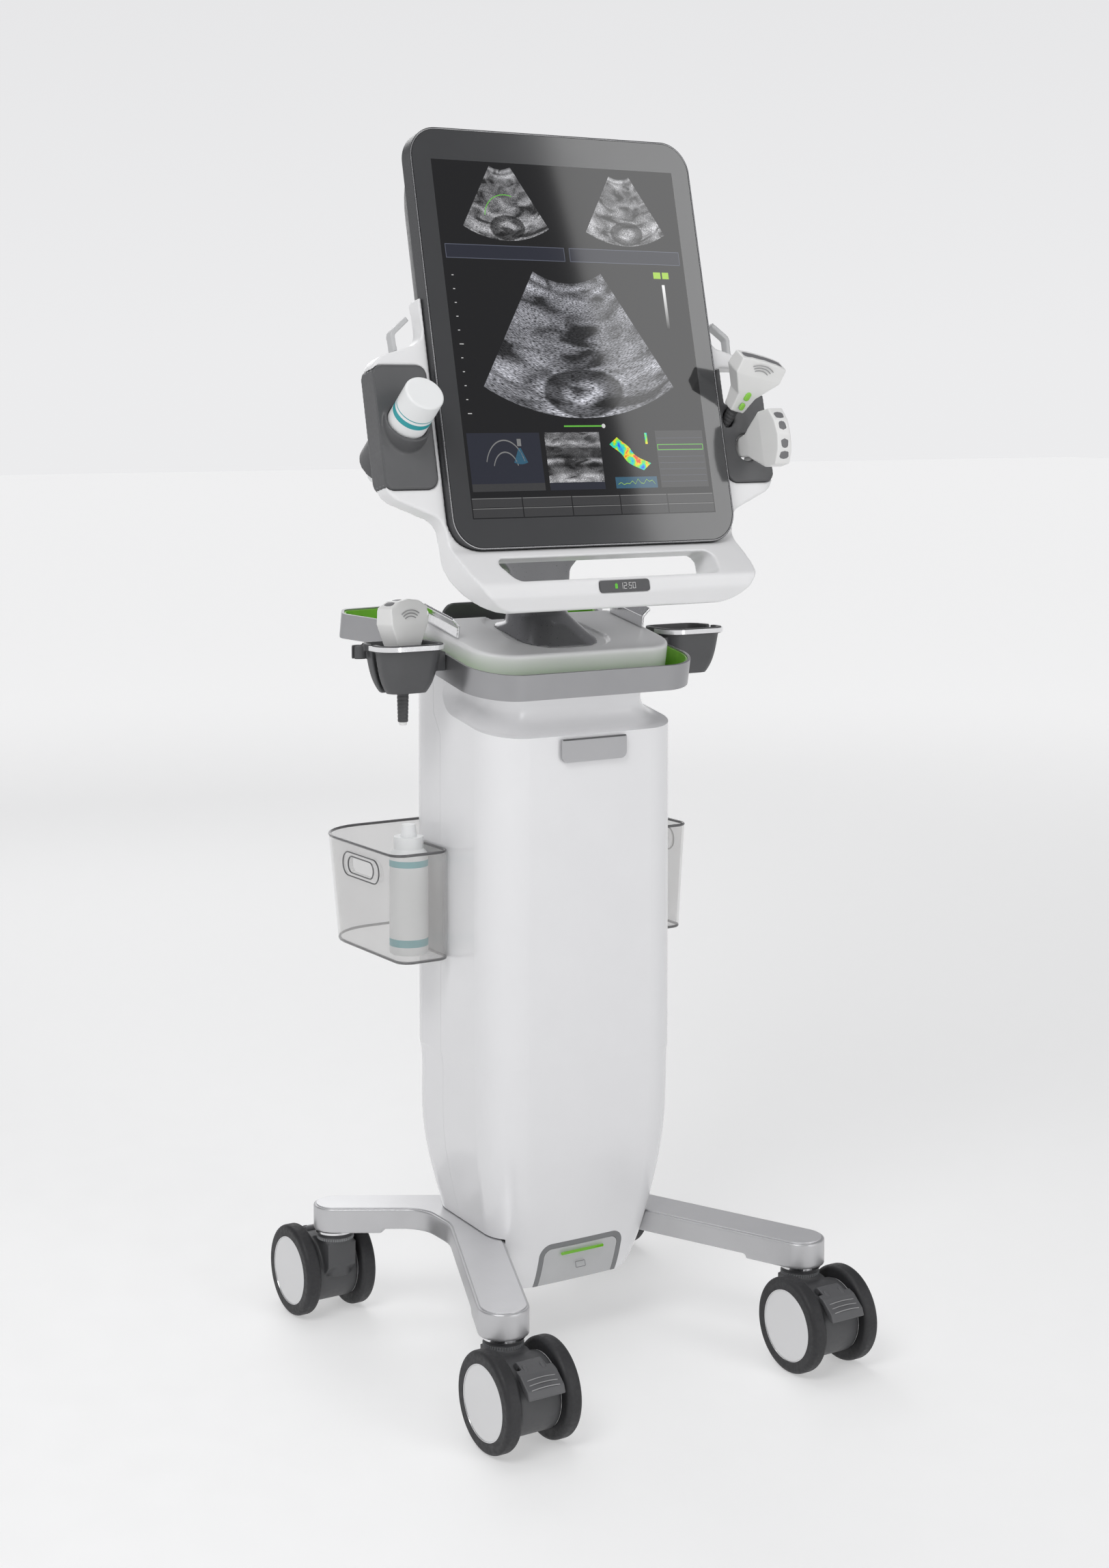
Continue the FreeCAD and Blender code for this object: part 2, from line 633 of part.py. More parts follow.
def back_panel():
    """Connector panel at the back with a mains inlet and an equipotential pin."""
    face_y = N.io_face
    plate = back_opening(N.shell_gap).common(Part.makeBox(400, 3, 400, Vector(-200, face_y - 3, 100)))
    inlet_x = -N.inlet_x
    inlet_z = N.io_low + 26
    inlet_hole = Part.makeBox(28.4, 20, 20.4, Vector(inlet_x - 14.2, face_y - 10, inlet_z - 10.2))
    pin_hole = Part.makeCylinder(N.pin_radius, 20, Vector(N.pin_x, face_y - 10, inlet_z), Vector(0, 1, 0))
    sockets = [Part.makeBox(width, 6, high, Vector(left, face_y - 1.8, N.io_low + bottom))
               for left, bottom, width, high in ((-46, 62, 16, 13.5), (-22, 62, 13.5, 6), (-22, 72, 13.5, 6),
                                                 (2, 64, 15.5, 5.5), (26, 62, 20, 12))]
    vents = [Part.makeBox(2 * N.io_half - 28, 20, 2.4, Vector(14 - N.io_half, face_y - 10, rise))
             for rise in range(252, 305, 6)]
    sub_part("connector_panel", feature(plate.cut([inlet_hole, pin_hole] + sockets + vents)))
    body = box((-D.inlet_x - 14, -D.inlet_x + 14), (D.io_face - 20, D.io_face + 1.5),
               (D.io_low + 16, D.io_low + 36))
    mouth = box((-D.inlet_x - 12, -D.inlet_x + 12), (D.io_face - 14, D.io_face + 5),
                (D.io_low + 18.5, D.io_low + 33.5))
    blades = [box((-D.inlet_x + at - 1, -D.inlet_x + at + 1), (D.io_face - 15, D.io_face - 3),
                  (D.io_low + 24, D.io_low + 28)) for at in (-7, 0, 7)]
    sub_part("mains_inlet", fuse(cut(body, mouth), *blades))
    pin = rod(D.pin_radius, D.pin_length + 3, D.pin_x, D.io_face - 3, D.io_low + 26, "Y")
    nut = rod(D.pin_radius + 3, 3, D.pin_x, D.io_face, D.io_low + 26, "Y")
    sub_part("earth_pin", fuse(pin, nut))


# ---------------------------------------------------------------- deck

def ring_outline():
    """The band round the deck seen square on: a bow at the front and two wings at the back."""
    half = N.ring_half
    length = N.ring_length
    return mirrored([(half, 0, 50), (half - 5, 118, 150), (half - 3, length - 58, 28),
                     (N.wing_half, length - 23, 7), (N.wing_half - 9, length - 4, 12),
                     (100, length, 12), (97, length - 50, 8)])


def inside_ring(inset, low, high):
    face = Part.Face(rounded_wire(ring_outline(), low)).makeOffset2D(-inset)
    return face.extrude(Vector(0, 0, high - low))


def deck():
    """Band, liner tray, white block, its clips and the cable rest, all square to the sloping deck."""
    low = -N.ring_height
    dip = Part.makeBox(188, 30, 40, Vector(-94, N.ring_length - 62, low / 2))
    band = slab(ring_outline(), low, 0).cut([inside_ring(N.ring_wall, low - 1, 1), dip])
    sub_part("deck_band", feature(deck_frame(band)))
    inset = N.ring_wall + 0.2
    tray = inside_ring(inset, low, -1.5).cut([inside_ring(inset + N.liner_wall, low + 3, 1), dip])
    sub_part("deck_liner", feature(deck_frame(tray)))
    block = slab(mirrored([(N.block_half, N.block_front, 44), (N.block_half + 8, N.block_back, 12)]),
                 low + 3.2, N.block_top)
    top_edges = [edge for edge in block.Edges if abs(edge.BoundBox.ZMin - N.block_top) < 1e-3]
    block = block.makeFillet(4, top_edges)
    recess = slab(arm_foot(11), N.block_top - 4, N.block_top + 5)
    post_hole = slab(arm_foot(-14), low, N.block_top)
    sub_part("deck_block", feature(deck_frame(block.cut([recess, post_hole]))))
    clips = []
    for side in (-1, 1):
        x = N.block_half - 2
        profile = [(side * (x - 3), N.block_top + 0.1), (side * (x - 3), N.block_top + 14, 2),
                   (side * (x + 6), N.block_top + 23), (side * (x + 8), N.block_top + 20.5),
                   (side * x, N.block_top + 12.5, 5), (side * x, N.block_top + 0.1)]
        clips.append(deck_frame(upright(profile, 101, 166)))
    sub_part("deck_clips", feature(Part.makeCompound(clips)))
    back = N.ring_length - 50
    wall = upright([(-46, low), (-46, 6, 15), (46, 6, 15), (46, low)], back + 24, back + 29)
    floor = Part.makeBox(92, 28, 4, Vector(-46, back + 0.3, low))
    sub_part("cable_rest", feature(deck_frame(wall.fuse(floor).removeSplitter())))


def arm_foot(grow):
    """Footprint of the arm's base on the deck."""
    return mirrored([(50 + grow, 58 - grow, 34 + grow), (45 + grow, 172 + grow, 30 + grow)])


def level_square(half, y, z):
    """Nearly a circle, with the same edges as the arm's footprint."""
    corners = mirrored([(half, y - half, half - 2), (half, y + half, half - 2)])
    return rounded_wire(corners, z)


def arm():
    """Flared base on the deck, the swivelling yoke on it, and the pin of the head's tilt."""
    foot = deck_frame(rounded_wire(arm_foot(0), N.block_top - 4))
    flare = [level_square(half, N.arm_y - back, z)
             for half, back, z in ((39, 14, 783), (34, 7, 791), (31, 3, 800), (29, 0, N.arm_base_top))]
    base = Part.makeLoft([foot] + flare, True, True)
    bore = Part.makeCylinder(10 + N.running_gap, 30, Vector(0, N.arm_y, N.arm_base_top - 26))
    sub_part("arm_base", feature(base.cut(bore)))
    seat = N.arm_base_top + 0.3
    centre = N.tilt_z
    ear = N.yoke_half
    half_outline = [(37, seat, 8), (39, seat + 24, 10), (ear, seat + 58, 14), (ear, centre + 18, 12),
                    (ear - 20, centre + 18, 8), (ear - 20, seat + 70, 10), (24, seat + 44, 14)]
    yoke = upright(mirrored(half_outline), N.arm_y - 15, N.arm_y + 15)
    stub = Part.makeCylinder(10, 24, Vector(0, N.arm_y, seat - 23))
    plate = Part.makeCylinder(28, 5, Vector(0, N.arm_y, seat))
    hole = Part.makeCylinder(N.tilt_pin_radius, 200, Vector(-100, N.arm_y, centre), Vector(1, 0, 0))
    sub_part("swivel_yoke", feature(yoke.fuse([stub, plate]).cut(hole).removeSplitter()))
    pin = rod(D.tilt_pin_radius, D.yoke_half * 2, -D.yoke_half, D.arm_y, D.tilt_z, "X")
    sub_part("tilt_pin", pin)


# ---------------------------------------------------------------- probe holders

def holder_wire(half_x, half_y, corner, z):
    return rounded_wire([(-half_x, -half_y, corner), (half_x, -half_y, corner),
                         (half_x, half_y, corner), (-half_x, half_y, corner)], z)


def holder_cup():
    """The left probe holder round its own centre: tapered cup, slot, lug and cable clip."""
    half_x = N.holder_half_x
    half_y = N.holder_half_y
    wall = N.holder_wall
    low = N.holder_bottom
    high = N.holder_top
    outer = Part.makeLoft([holder_wire(half_x * k, half_y * k, 17 * k, z) for k, z in
                           ((0.6, low), (0.82, low + 17), (0.95, low + 42), (1, high))], True, False)
    inner = Part.makeLoft([holder_wire(half_x * k - wall, half_y * k - wall, 17 * k - wall, z) for k, z in
                           ((0.66, low + wall), (0.82, low + 17), (0.95, low + 42), (1, high + 0.1))],
                          True, False)
    flange = Part.Face(holder_wire(half_x + 2, half_y + 2, 19, high - 7)).extrude(Vector(0, 0, 7))
    lug = Part.makeBox(24, 34, 20, Vector(half_x - 5, -17, high - 30))
    clip = Part.makeCylinder(8, 14, Vector(-half_x - 4, 20, high - 16))
    bite = Part.makeCylinder(5, 20, Vector(-half_x - 4, 20, high - 18))
    mouth = Part.makeBox(12, 5, 20, Vector(-half_x - 16, 17.5, high - 18))
    slot = Part.makeBox(half_x + 20, 9, 100, Vector(-half_x - 20, -4.5, low - 10))
    cable_hole = Part.makeCylinder(8, 20, Vector(0, 0, low - 5))
    return outer.fuse([flange, lug, clip]).cut([inner, bite, mouth, slot, cable_hole])


def holders():
    place = Vector(-N.holder_x, N.holder_y, 0)
    cup = holder_cup()
    cup.translate(place)
    ring = deck_frame(inside_ring(-0.1, -N.ring_height - 60, 60))
    cup = largest_solid(cup.cut(ring))
    sub_part("probe_holder_left", feature(cup))
    sub_part("probe_holder_right", feature(flip_x(cup)))
    high = N.holder_top - 1
    wide = Part.Face(holder_wire(N.holder_half_x + 3.5, N.holder_half_y + 3.5, 20.5, high - 5))
    tight = Part.Face(holder_wire(N.holder_half_x + 2.1, N.holder_half_y + 2.1, 19.1, high - 5))
    trim = wide.cut(tight).extrude(Vector(0, 0, 5))
    trim = trim.common(Part.makeBox(200, 40, 200, Vector(-100, -40, high - 100)))
    trim.translate(place)
    trim = largest_solid(trim.cut(ring))
    sub_part("holder_trims", feature(Part.makeCompound([trim, flip_x(trim)])))


# ---------------------------------------------------------------- probes and bottles

def probe(head_half, head_depth, lens_rise, handle_length, relief_length):
    """An ultrasound probe that stands on its handle's end, with its lens at the top."""
    neck = handle_length
    shoulder = neck + head_depth * 0.35
    crown = neck + head_depth
    front_outline = [(-9, 0), (-12.5, neck * 0.6), (-head_half, shoulder), (-head_half, crown - lens_rise),
                     (-head_half * 0.55, crown - lens_rise * 0.25), (0, crown),
                     (head_half * 0.55, crown - lens_rise * 0.25), (head_half, crown - lens_rise),
                     (head_half, shoulder), (12.5, neck * 0.6), (9, 0)]
    front = prism("XZ", front_outline, -20, 20)
    side_outline = [(-8, 0), (-10.5, neck * 0.7), (-11.5, shoulder), (-9, crown + 1),
                    (9, crown + 1), (11.5, shoulder), (10.5, neck * 0.7), (8, 0)]
    side = prism("YZ", side_outline, -40, 40)
    relief = doc.addObject("Part::Cone", "Relief")
    bind(relief, "Radius1", 4.4)
    bind(relief, "Radius2", 5.8)
    bind(relief, "Height", relief_length)
    put(relief, 0, 0, 0.1 - relief_length)
    return fuse(common(front, side), relief)


def lean(thing, x=0.0, depth=0.0, rise=0.0, extra=None):
    """Place an object in the leaning frame of the display: depth is behind the glass, rise is up it."""
    tilt = Rotation(Vector(1, 0, 0), -N.head_lean)
    spot = Vector(0, -N.head_y, N.head_z) + tilt.multVec(Vector(x, depth, rise))
    turned_by = tilt if extra is None else tilt.multiply(extra)
    thing.Placement = Placement(spot, turned_by).multiply(thing.Placement)
    return thing


def axis_turn(direction, twist=0.0):
    """The rotation that takes +Z to a direction, after a twist about +Z."""
    return Rotation(Vector(0, 0, 1), Vector(*direction)).multiply(Rotation(Vector(0, 0, 1), twist))


def probes():
    deck_probe = turn(probe(29, 40, 9, 55, 39), (0, 0, 1), 20)
    put(deck_probe, -D.holder_x, D.holder_y, D.holder_bottom + D.holder_wall + 1)
    sub_part("deck_probe", deck_probe)
    linear = probe(31, 30, 2, 36, 30)
    way = Vector(0.2, -0.69, 0.69).normalize()
    sub_part("linear_probe", lean(linear, 196, 0, -76, axis_turn(way)))
    convex = probe(31, 42, 10, 40, 26)
    sub_part("convex_probe", lean(convex, 214, 22, -118, axis_turn((0, -1, 0), 90)))


def bottle():
    """A squeeze bottle standing on its base, with its collar and nozzle."""
    radius = D.bottle_radius
    high = D.bottle_height
    profile = [(0, 0), (radius, 0), (radius, high - 32), (radius - 5, high - 26), (radius - 5, high - 13),
               (radius - 12, high - 13), (radius - 13.5, high), (0, high)]
    return turned(profile, [(2.5, radius)])


def bottles():
    in_basket = bottle()
    put(in_basket, -D.basket_bottle_x, D.basket_bottle_y, D.basket_bottle_z)
    sub_part("basket_bottle", in_basket)
    way = Vector(0, N.bottle_way_depth, -N.bottle_way_drop)
    sub_part("pod_bottle", lean(bottle(), -N.pod_bottle_x, -N.pod_bottle_out, -N.pod_bottle_drop,
                                axis_turn(way)))


# ---------------------------------------------------------------- baskets

def basket_section(inset, spread, z):
    """One level U-shaped section round the column's sides and back; spread moves the outer walls."""
    near = N.column_half + 1.5 + inset
    back = N.column_back + 1.5 + inset
    front = N.basket_front + inset
    far = N.basket_half + spread - inset
    rear = N.basket_rear + spread - inset
    return rounded_wire(mirrored([(near, back, 41.5 + inset), (near, front, 17 - inset),
                                  (far, front, 16 - inset), (far, rear, 60 - inset)]), z)


def long_oval(half_length, half_height):
    """A long rounded block across the left outer wall, centred on the hand slot."""
    middle = N.slot_y
    round_end = half_height - 0.1
    return sideways([(middle - half_length, N.slot_z - half_height, round_end),
                     (middle + half_length, N.slot_z - half_height, round_end),
                     (middle + half_length, N.slot_z + half_height, round_end),
                     (middle - half_length, N.slot_z + half_height, round_end)],
                    -N.basket_half - 1.5, -N.basket_half + 12)


def basket():
    """A clear tray with a little draft, and a hand slot with a raised rim in each outer wall."""
    wall = N.basket_wall
    low = N.basket_low
    high = low + N.basket_depth
    outer = Part.makeLoft([basket_section(0, -N.basket_draft, low), basket_section(0, 0, high)], True, True)
    inner = Part.makeLoft([basket_section(wall, -N.basket_draft, low + wall),
                           basket_section(wall, 0, high)], True, True)
    flange = long_oval(N.slot_half + 13.5, 13.5)
    slot = long_oval(N.slot_half, 8.5)
    slot = slot.fuse(slot.translated(Vector(-6, 0, 0)))
    return outer.fuse([flange, flip_x(flange)]).cut([inner, slot, flip_x(slot)])


def baskets():
    plate = Part.makeBox(1.2, 42, 100, Vector(-N.column_half - 1.3, 50, N.basket_low + 8))
    sub_part("basket", feature(basket()))
    sub_part("basket_plates", feature(Part.makeCompound([plate, flip_x(plate)])))


# ---------------------------------------------------------------- head

def glass_corners(grow):
    half = D.glass_half + grow
    return [(-half, -D.glass_low - grow), (half, -D.glass_low - grow),
            (half, D.glass_high + grow), (-half, D.glass_high + grow)]


ALL_FOUR = (0, 1, 2, 3)


def screen():
    """Cover glass in a metal rim, with the panel behind it."""
    glass = prism("XZ", glass_corners(0), 0, D.glass_sheet, [(D.glass_round, ALL_FOUR)])
    sub_part("display_glass", lean(glass))
    margin = D.rim_margin
    outer = prism("XZ", glass_corners(margin), 0.6, D.rim_depth, [(D.glass_round + margin, ALL_FOUR)])
    seat = prism("XZ", glass_corners(0.3), -1, D.glass_sheet + 0.2, [(D.glass_round + 0.3, ALL_FOUR)])
    cavity = prism("XZ", glass_corners(-3), -1, D.rim_depth + 1, [(D.glass_round - 3, ALL_FOUR)])
    sub_part("display_rim", lean(cut(outer, seat, cavity)))
    panel = box((-D.glass_half + 15, D.glass_half - 15), (D.glass_sheet + 1, D.glass_sheet + 9),
                (-D.glass_low + 18, D.glass_high - 20))
    sub_part("display_panel", lean(group(panel)))


def depth_section(half, low, high, corner, depth):
    wire = rounded_wire([(-half, low, corner), (half, low, corner), (half, high, corner),
                         (-half, high, corner)], -depth)
    wire.rotate(Vector(), Vector(1, 0, 0), 90)
    return wire


def housing_solid(inset, start, end):
    """The tapered back of the head, inset by a wall."""
    half = N.glass_half - inset
    sections = [(half - 9, 9 - N.glass_low + inset, N.glass_high - 10 - inset, 28, start),
                (half - 15, 10 - N.glass_low + inset, N.glass_high - 19 - inset, 32, start + 30),
                (half - 57, 25 - N.glass_low + inset, N.glass_high - 154 - inset, 36, end)]
    return Part.makeLoft([depth_section(*section) for section in sections], True, False)


def housing():
    """Back cover with vents and probe ports, and the tilt hub on it."""
    start = N.rim_depth + 0.2
    end = N.housing_depth
    shell = housing_solid(0, start, end).cut(housing_solid(N.shell_wall, start - 0.1, end - N.shell_wall))
    vents = [Part.makeBox(70, 20, 3, Vector(-35, end - 14, rise)) for rise in range(22, 64, 7)]
    sub_part("head_back_cover", feature_lean(shell.cut(vents)))
    hub_depth, hub_rise = tilt_axis_in_head()
    barrel = Part.makeCylinder(18, 2 * N.hub_half, Vector(-N.hub_half, hub_depth, hub_rise), Vector(1, 0, 0))
    arm_block = Part.makeBox(2 * N.hub_half - 12, hub_depth - end + 4, 30,
                             Vector(6 - N.hub_half, end - 4.2, hub_rise - 15))
    bore = Part.makeCylinder(N.tilt_pin_radius + N.running_gap, 300, Vector(-150, hub_depth, hub_rise),
                             Vector(1, 0, 0))
    hub = barrel.fuse(arm_block).cut([bore, housing_solid(-0.2, start, end)])
    sub_part("tilt_hub", feature_lean(hub.removeSplitter()))
    block = box((-62, 62), (D.housing_depth + 0.2, D.housing_depth + 12), (-46, 6))
    mouth_depth = (D.housing_depth + 4, D.housing_depth + 20)
    mouths = [box((low, low + 46), mouth_depth, (-30, -10)) for low in (-54, 8)]
    sub_part("probe_ports", lean(cut(block, *mouths)))


def tilt_axis_in_head():
    """Depth and rise of the tilt axis in the leaning frame."""
    lean_by = math.radians(N.head_lean)
    out = N.arm_y + N.head_y
    down = N.tilt_z - N.head_z
    return (out * math.cos(lean_by) - down * math.sin(lean_by),
            out * math.sin(lean_by) + down * math.cos(lean_by))


def feature_lean(shape):
    return lean(feature(shape))


def pod_outline(slack=0.0):
    """Outline of a side pod on the right; the left one mirrors it."""
    return [(N.pod_inner - slack, -N.pod_high + slack, 10), (N.pod_outer + slack, -N.pod_high + slack, 10),
            (N.pod_outer + slack, -N.pod_low - slack, 10), (N.pod_inner - slack, -N.pod_low - slack, 12)]


def carrier_solid():
    """The one-piece white frame: ears beside the display and a carrying handle under it."""
    ear = N.pod_outer + 1
    corners = mirrored([(150, 44), (182, 44, 3), (180, -3, 20), (ear, -21, 26), (ear - 1, -163, 24),
                        (181, -190, 22), (176, -N.bar_low, 52)])
    front = upright(corners, -60, 60)
    depths = [(N.frame_front, 60), (N.frame_front, -218, 20), (-N.bar_front, 28 - N.bar_low, 8),
              (-N.bar_front, 13 - N.bar_low, 4), (12 - N.bar_front, -N.bar_low, 4),
              (25 - N.bar_front, -N.bar_low, 10), (N.frame_back, -236, 34), (N.frame_back, 60)]
    side = sideways(depths, -300, 300)
    grip = upright(mirrored([(138, -234, 8), (126, -262, 12)]), -80, 80)
    return front.common(side).cut(grip)


def carrier():
    frame = carrier_solid()
    rim_room = upright(display_room(N.rim_margin + 0.3, N.glass_round + 2.8), -80, N.rim_depth + 0.3)
    back_room = upright(display_room(-8, 28), -80, 120)
    pods = [upright(pod_outline(0.3), N.frame_front - 2, 80)]
    pods.append(flip_x(pods[0]))
    plate = handle_plate(0.2)
    frame = frame.cut([rim_room, back_room, plate] + pods)
    frame = largest_solid(frame)
    sub_part("carrier_frame", feature_lean(frame))
    sub_part("handle_display", feature_lean(handle_plate(0)))
    hook = hook_solid().cut(frame)
    sub_part("cable_hooks", feature_lean(Part.makeCompound([hook, flip_x(hook)])))


def display_room(grow, corner):
    half = N.glass_half + grow
    return [(-half, -N.glass_low - grow, corner), (half, -N.glass_low - grow, corner),
            (half, N.glass_high + grow, corner), (-half, N.glass_high + grow, corner)]


def handle_plate(slack):
    """The small status display let into the middle of the handle."""
    outline = [(-31 - slack, 26.5 - N.bar_low, 3), (31 + slack, 26.5 - N.bar_low, 3),
               (31 + slack, 14.2 - N.bar_low - slack, 3), (-31 - slack, 14.2 - N.bar_low - slack, 3)]
    return upright(outline, -N.bar_front - 0.6, -N.bar_front + 3 + slack)


def hook_solid():
    """A flat bar that rises from the right ear and bends towards the display."""
    outline = [(208.5, -25), (210.5, 6, 5), (192, 21), (195, 25.5), (215.5, 9, 9), (213.5, -25)]
    return upright(outline, 16, 27)


def pods():
    """Dark pods in the ears: a bottle cup on the left and two probe seats on the right."""
    front = N.frame_front - 2
    back = N.frame_back + 4
    plate = flip_x(upright(pod_outline(), front, back))
    axis = Vector(0, N.bottle_way_depth, -N.bottle_way_drop).normalize()
    start = Vector(-N.pod_bottle_x, -N.pod_bottle_out, -N.pod_bottle_drop)
    tube = Part.makeCylinder(N.bottle_radius + 4.5, 72, start + axis * 46, axis)
    well = Part.makeCylinder(N.bottle_radius + 0.8, 175, start - axis * 60, axis)
    throat = Part.makeCylinder(N.bottle_radius - 4, 40, start + axis * 100, axis)
    sub_part("bottle_pod", feature_lean(plate.fuse(tube).cut([well, throat])))
    inner = N.pod_inner
    outer = N.pod_outer
    notch = [(inner + 7, -N.pod_high + 10), (inner + 7, -66, 5), (inner + 29, -76, 5), (outer - 7, -59, 2),
             (outer + 10, -59), (outer + 10, -N.pod_high + 10)]
    seats = upright(pod_outline(), front, back).cut(upright(notch, front - 1, back + 1))
    way = Vector(0.2, -0.69, 0.69).normalize()
    channel = Part.makeCylinder(14.5, 60, Vector(196, 0, -76) - way * 3, way)
    channel_tail = Part.makeCylinder(7.5, 60, Vector(196, 0, -76) - way * 58, way)
    well = Part.makeCylinder(15.5, 60, Vector(214, -20, -118), Vector(0, 1, 0))
    sub_part("probe_pod", feature_lean(seats.cut([channel, channel_tail, well])))


# ---------------------------------------------------------------- assembly

def check():
    """Stop if any object failed or any sub-part is not a valid solid."""
    for item in doc.Objects:
        if "Invalid" in item.State or "Error" in item.State:
            raise RuntimeError("{} failed: {}".format(item.Label, item.State))
    for part in sub_parts:
        if part.Shape.isNull() or not part.Shape.isValid() or not part.Shape.Solids:
            raise RuntimeError("{} is not a valid solid".format(part.Label))


def build():
    for name, side, end in (("front_left", -1, -1), ("front_right", 1, -1),
                            ("back_left", -1, 1), ("back_right", 1, 1)):
        caster(name, side, end)
    for section in (base_frame, column, inner_units, back_panel, deck, arm, holders, probes, bottles,
                    baskets, screen, housing, carrier, pods):
        section()
    doc.recompute()
    check()
    os.makedirs("parts", exist_ok=True)
    for part in sub_parts:
        part.Shape.exportStep("parts/{}.step".format(part.Label))


build()
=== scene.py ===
"""Looks of the point-of-care ultrasound cart. Metres, +Z up, the front of the cart faces -Y."""

import math

import bmesh
import bpy
from mathutils import Matrix, Vector


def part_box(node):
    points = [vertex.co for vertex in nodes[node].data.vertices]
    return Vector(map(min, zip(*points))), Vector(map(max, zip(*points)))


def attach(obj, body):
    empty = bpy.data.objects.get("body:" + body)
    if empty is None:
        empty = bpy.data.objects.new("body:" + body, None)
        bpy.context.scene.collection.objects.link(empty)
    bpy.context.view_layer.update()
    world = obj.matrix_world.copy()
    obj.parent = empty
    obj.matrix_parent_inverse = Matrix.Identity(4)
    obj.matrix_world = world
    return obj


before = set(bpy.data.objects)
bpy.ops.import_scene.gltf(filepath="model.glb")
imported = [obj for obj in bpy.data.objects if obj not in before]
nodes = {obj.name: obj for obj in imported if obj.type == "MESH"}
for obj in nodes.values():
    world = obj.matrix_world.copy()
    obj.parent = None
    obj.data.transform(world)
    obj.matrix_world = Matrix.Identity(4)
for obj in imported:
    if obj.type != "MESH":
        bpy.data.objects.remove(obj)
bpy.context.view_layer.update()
MM = 0.001

# The leaning frame of the display, as in the CAD model.
HEAD = Matrix.Translation((0, -0.026, 1.090)) @ Matrix.Rotation(math.radians(-13), 4, "X")
EYE = Vector((-1.40183, -2.19666, 1.02472))
CORNERS = (("front_left", -1, -1), ("front_right", 1, -1), ("back_left", -1, 1), ("back_right", 1, 1))


# ---------------------------------------------------------------- materials

def new_material(name):
    material = bpy.data.materials.new(name)
    material.use_nodes = True
    tree = material.node_tree
    return material, tree, tree.nodes["Principled BSDF"]


def link(tree, source, socket, target, target_socket):
    tree.links.new(source.outputs[socket], target.inputs[target_socket])


def coordinates(tree, stretch=(1, 1, 1)):
    """Object coordinates in metres, stretched along an axis for brushed or drawn finishes."""
    place = tree.nodes.new("ShaderNodeTexCoord")
    mapping = tree.nodes.new("ShaderNodeMapping")
    mapping.inputs["Scale"].default_value = stretch
    link(tree, place, "Object", mapping, "Vector")
    return mapping


def noise(tree, place, size, detail=3):
    """Noise whose features are about size metres across."""
    node = tree.nodes.new("ShaderNodeTexNoise")
    node.inputs["Scale"].default_value = 1 / size
    node.inputs["Detail"].default_value = detail
    link(tree, place, "Vector", node, "Vector")
    return node


def spread(tree, source, low, high):
    """Noise mapped to a range."""
    node = tree.nodes.new("ShaderNodeMapRange")
    node.inputs["From Min"].default_value = 0.3
    node.inputs["From Max"].default_value = 0.7
    node.inputs["To Min"].default_value = low
    node.inputs["To Max"].default_value = high
    link(tree, source, "Fac", node, "Value")
    return node


def shade(color, factor):
    return tuple(min(1, channel * factor) for channel in color) + (1,)


def surface(name, color, rough, metal=0.0, grain=0.0004, bump=0.02, stretch=(1, 1, 1), mottle=0.06,
            rough_range=0.06, coat=0.0, specular=0.5):
    """A finish with fine grain, uneven gloss and slightly uneven colour."""
    material, tree, shader = new_material(name)
    place = coordinates(tree, stretch)
    fine = noise(tree, place, grain)
    broad = noise(tree, coordinates(tree), 0.045, 4)
    ramp = tree.nodes.new("ShaderNodeValToRGB")
    ramp.color_ramp.elements[0].position = 0.3
    ramp.color_ramp.elements[1].position = 0.7
    ramp.color_ramp.elements[0].color = shade(color, 1 - mottle)
    ramp.color_ramp.elements[1].color = shade(color, 1 + mottle)
    link(tree, broad, "Fac", ramp, "Fac")
    link(tree, ramp, "Color", shader, "Base Color")
    gloss = spread(tree, noise(tree, place, grain * 6), rough - rough_range, rough + rough_range)
    link(tree, gloss, "Result", shader, "Roughness")
    relief = tree.nodes.new("ShaderNodeBump")
    relief.inputs["Strength"].default_value = bump
    relief.inputs["Distance"].default_value = grain * 0.5
    link(tree, fine, "Fac", relief, "Height")
    link(tree, relief, "Normal", shader, "Normal")
    shader.inputs["Metallic"].default_value = metal
    shader.inputs["Coat Weight"].default_value = coat
    shader.inputs["Coat Roughness"].default_value = 0.12
    shader.inputs["Specular IOR Level"].default_value = specular
    return material


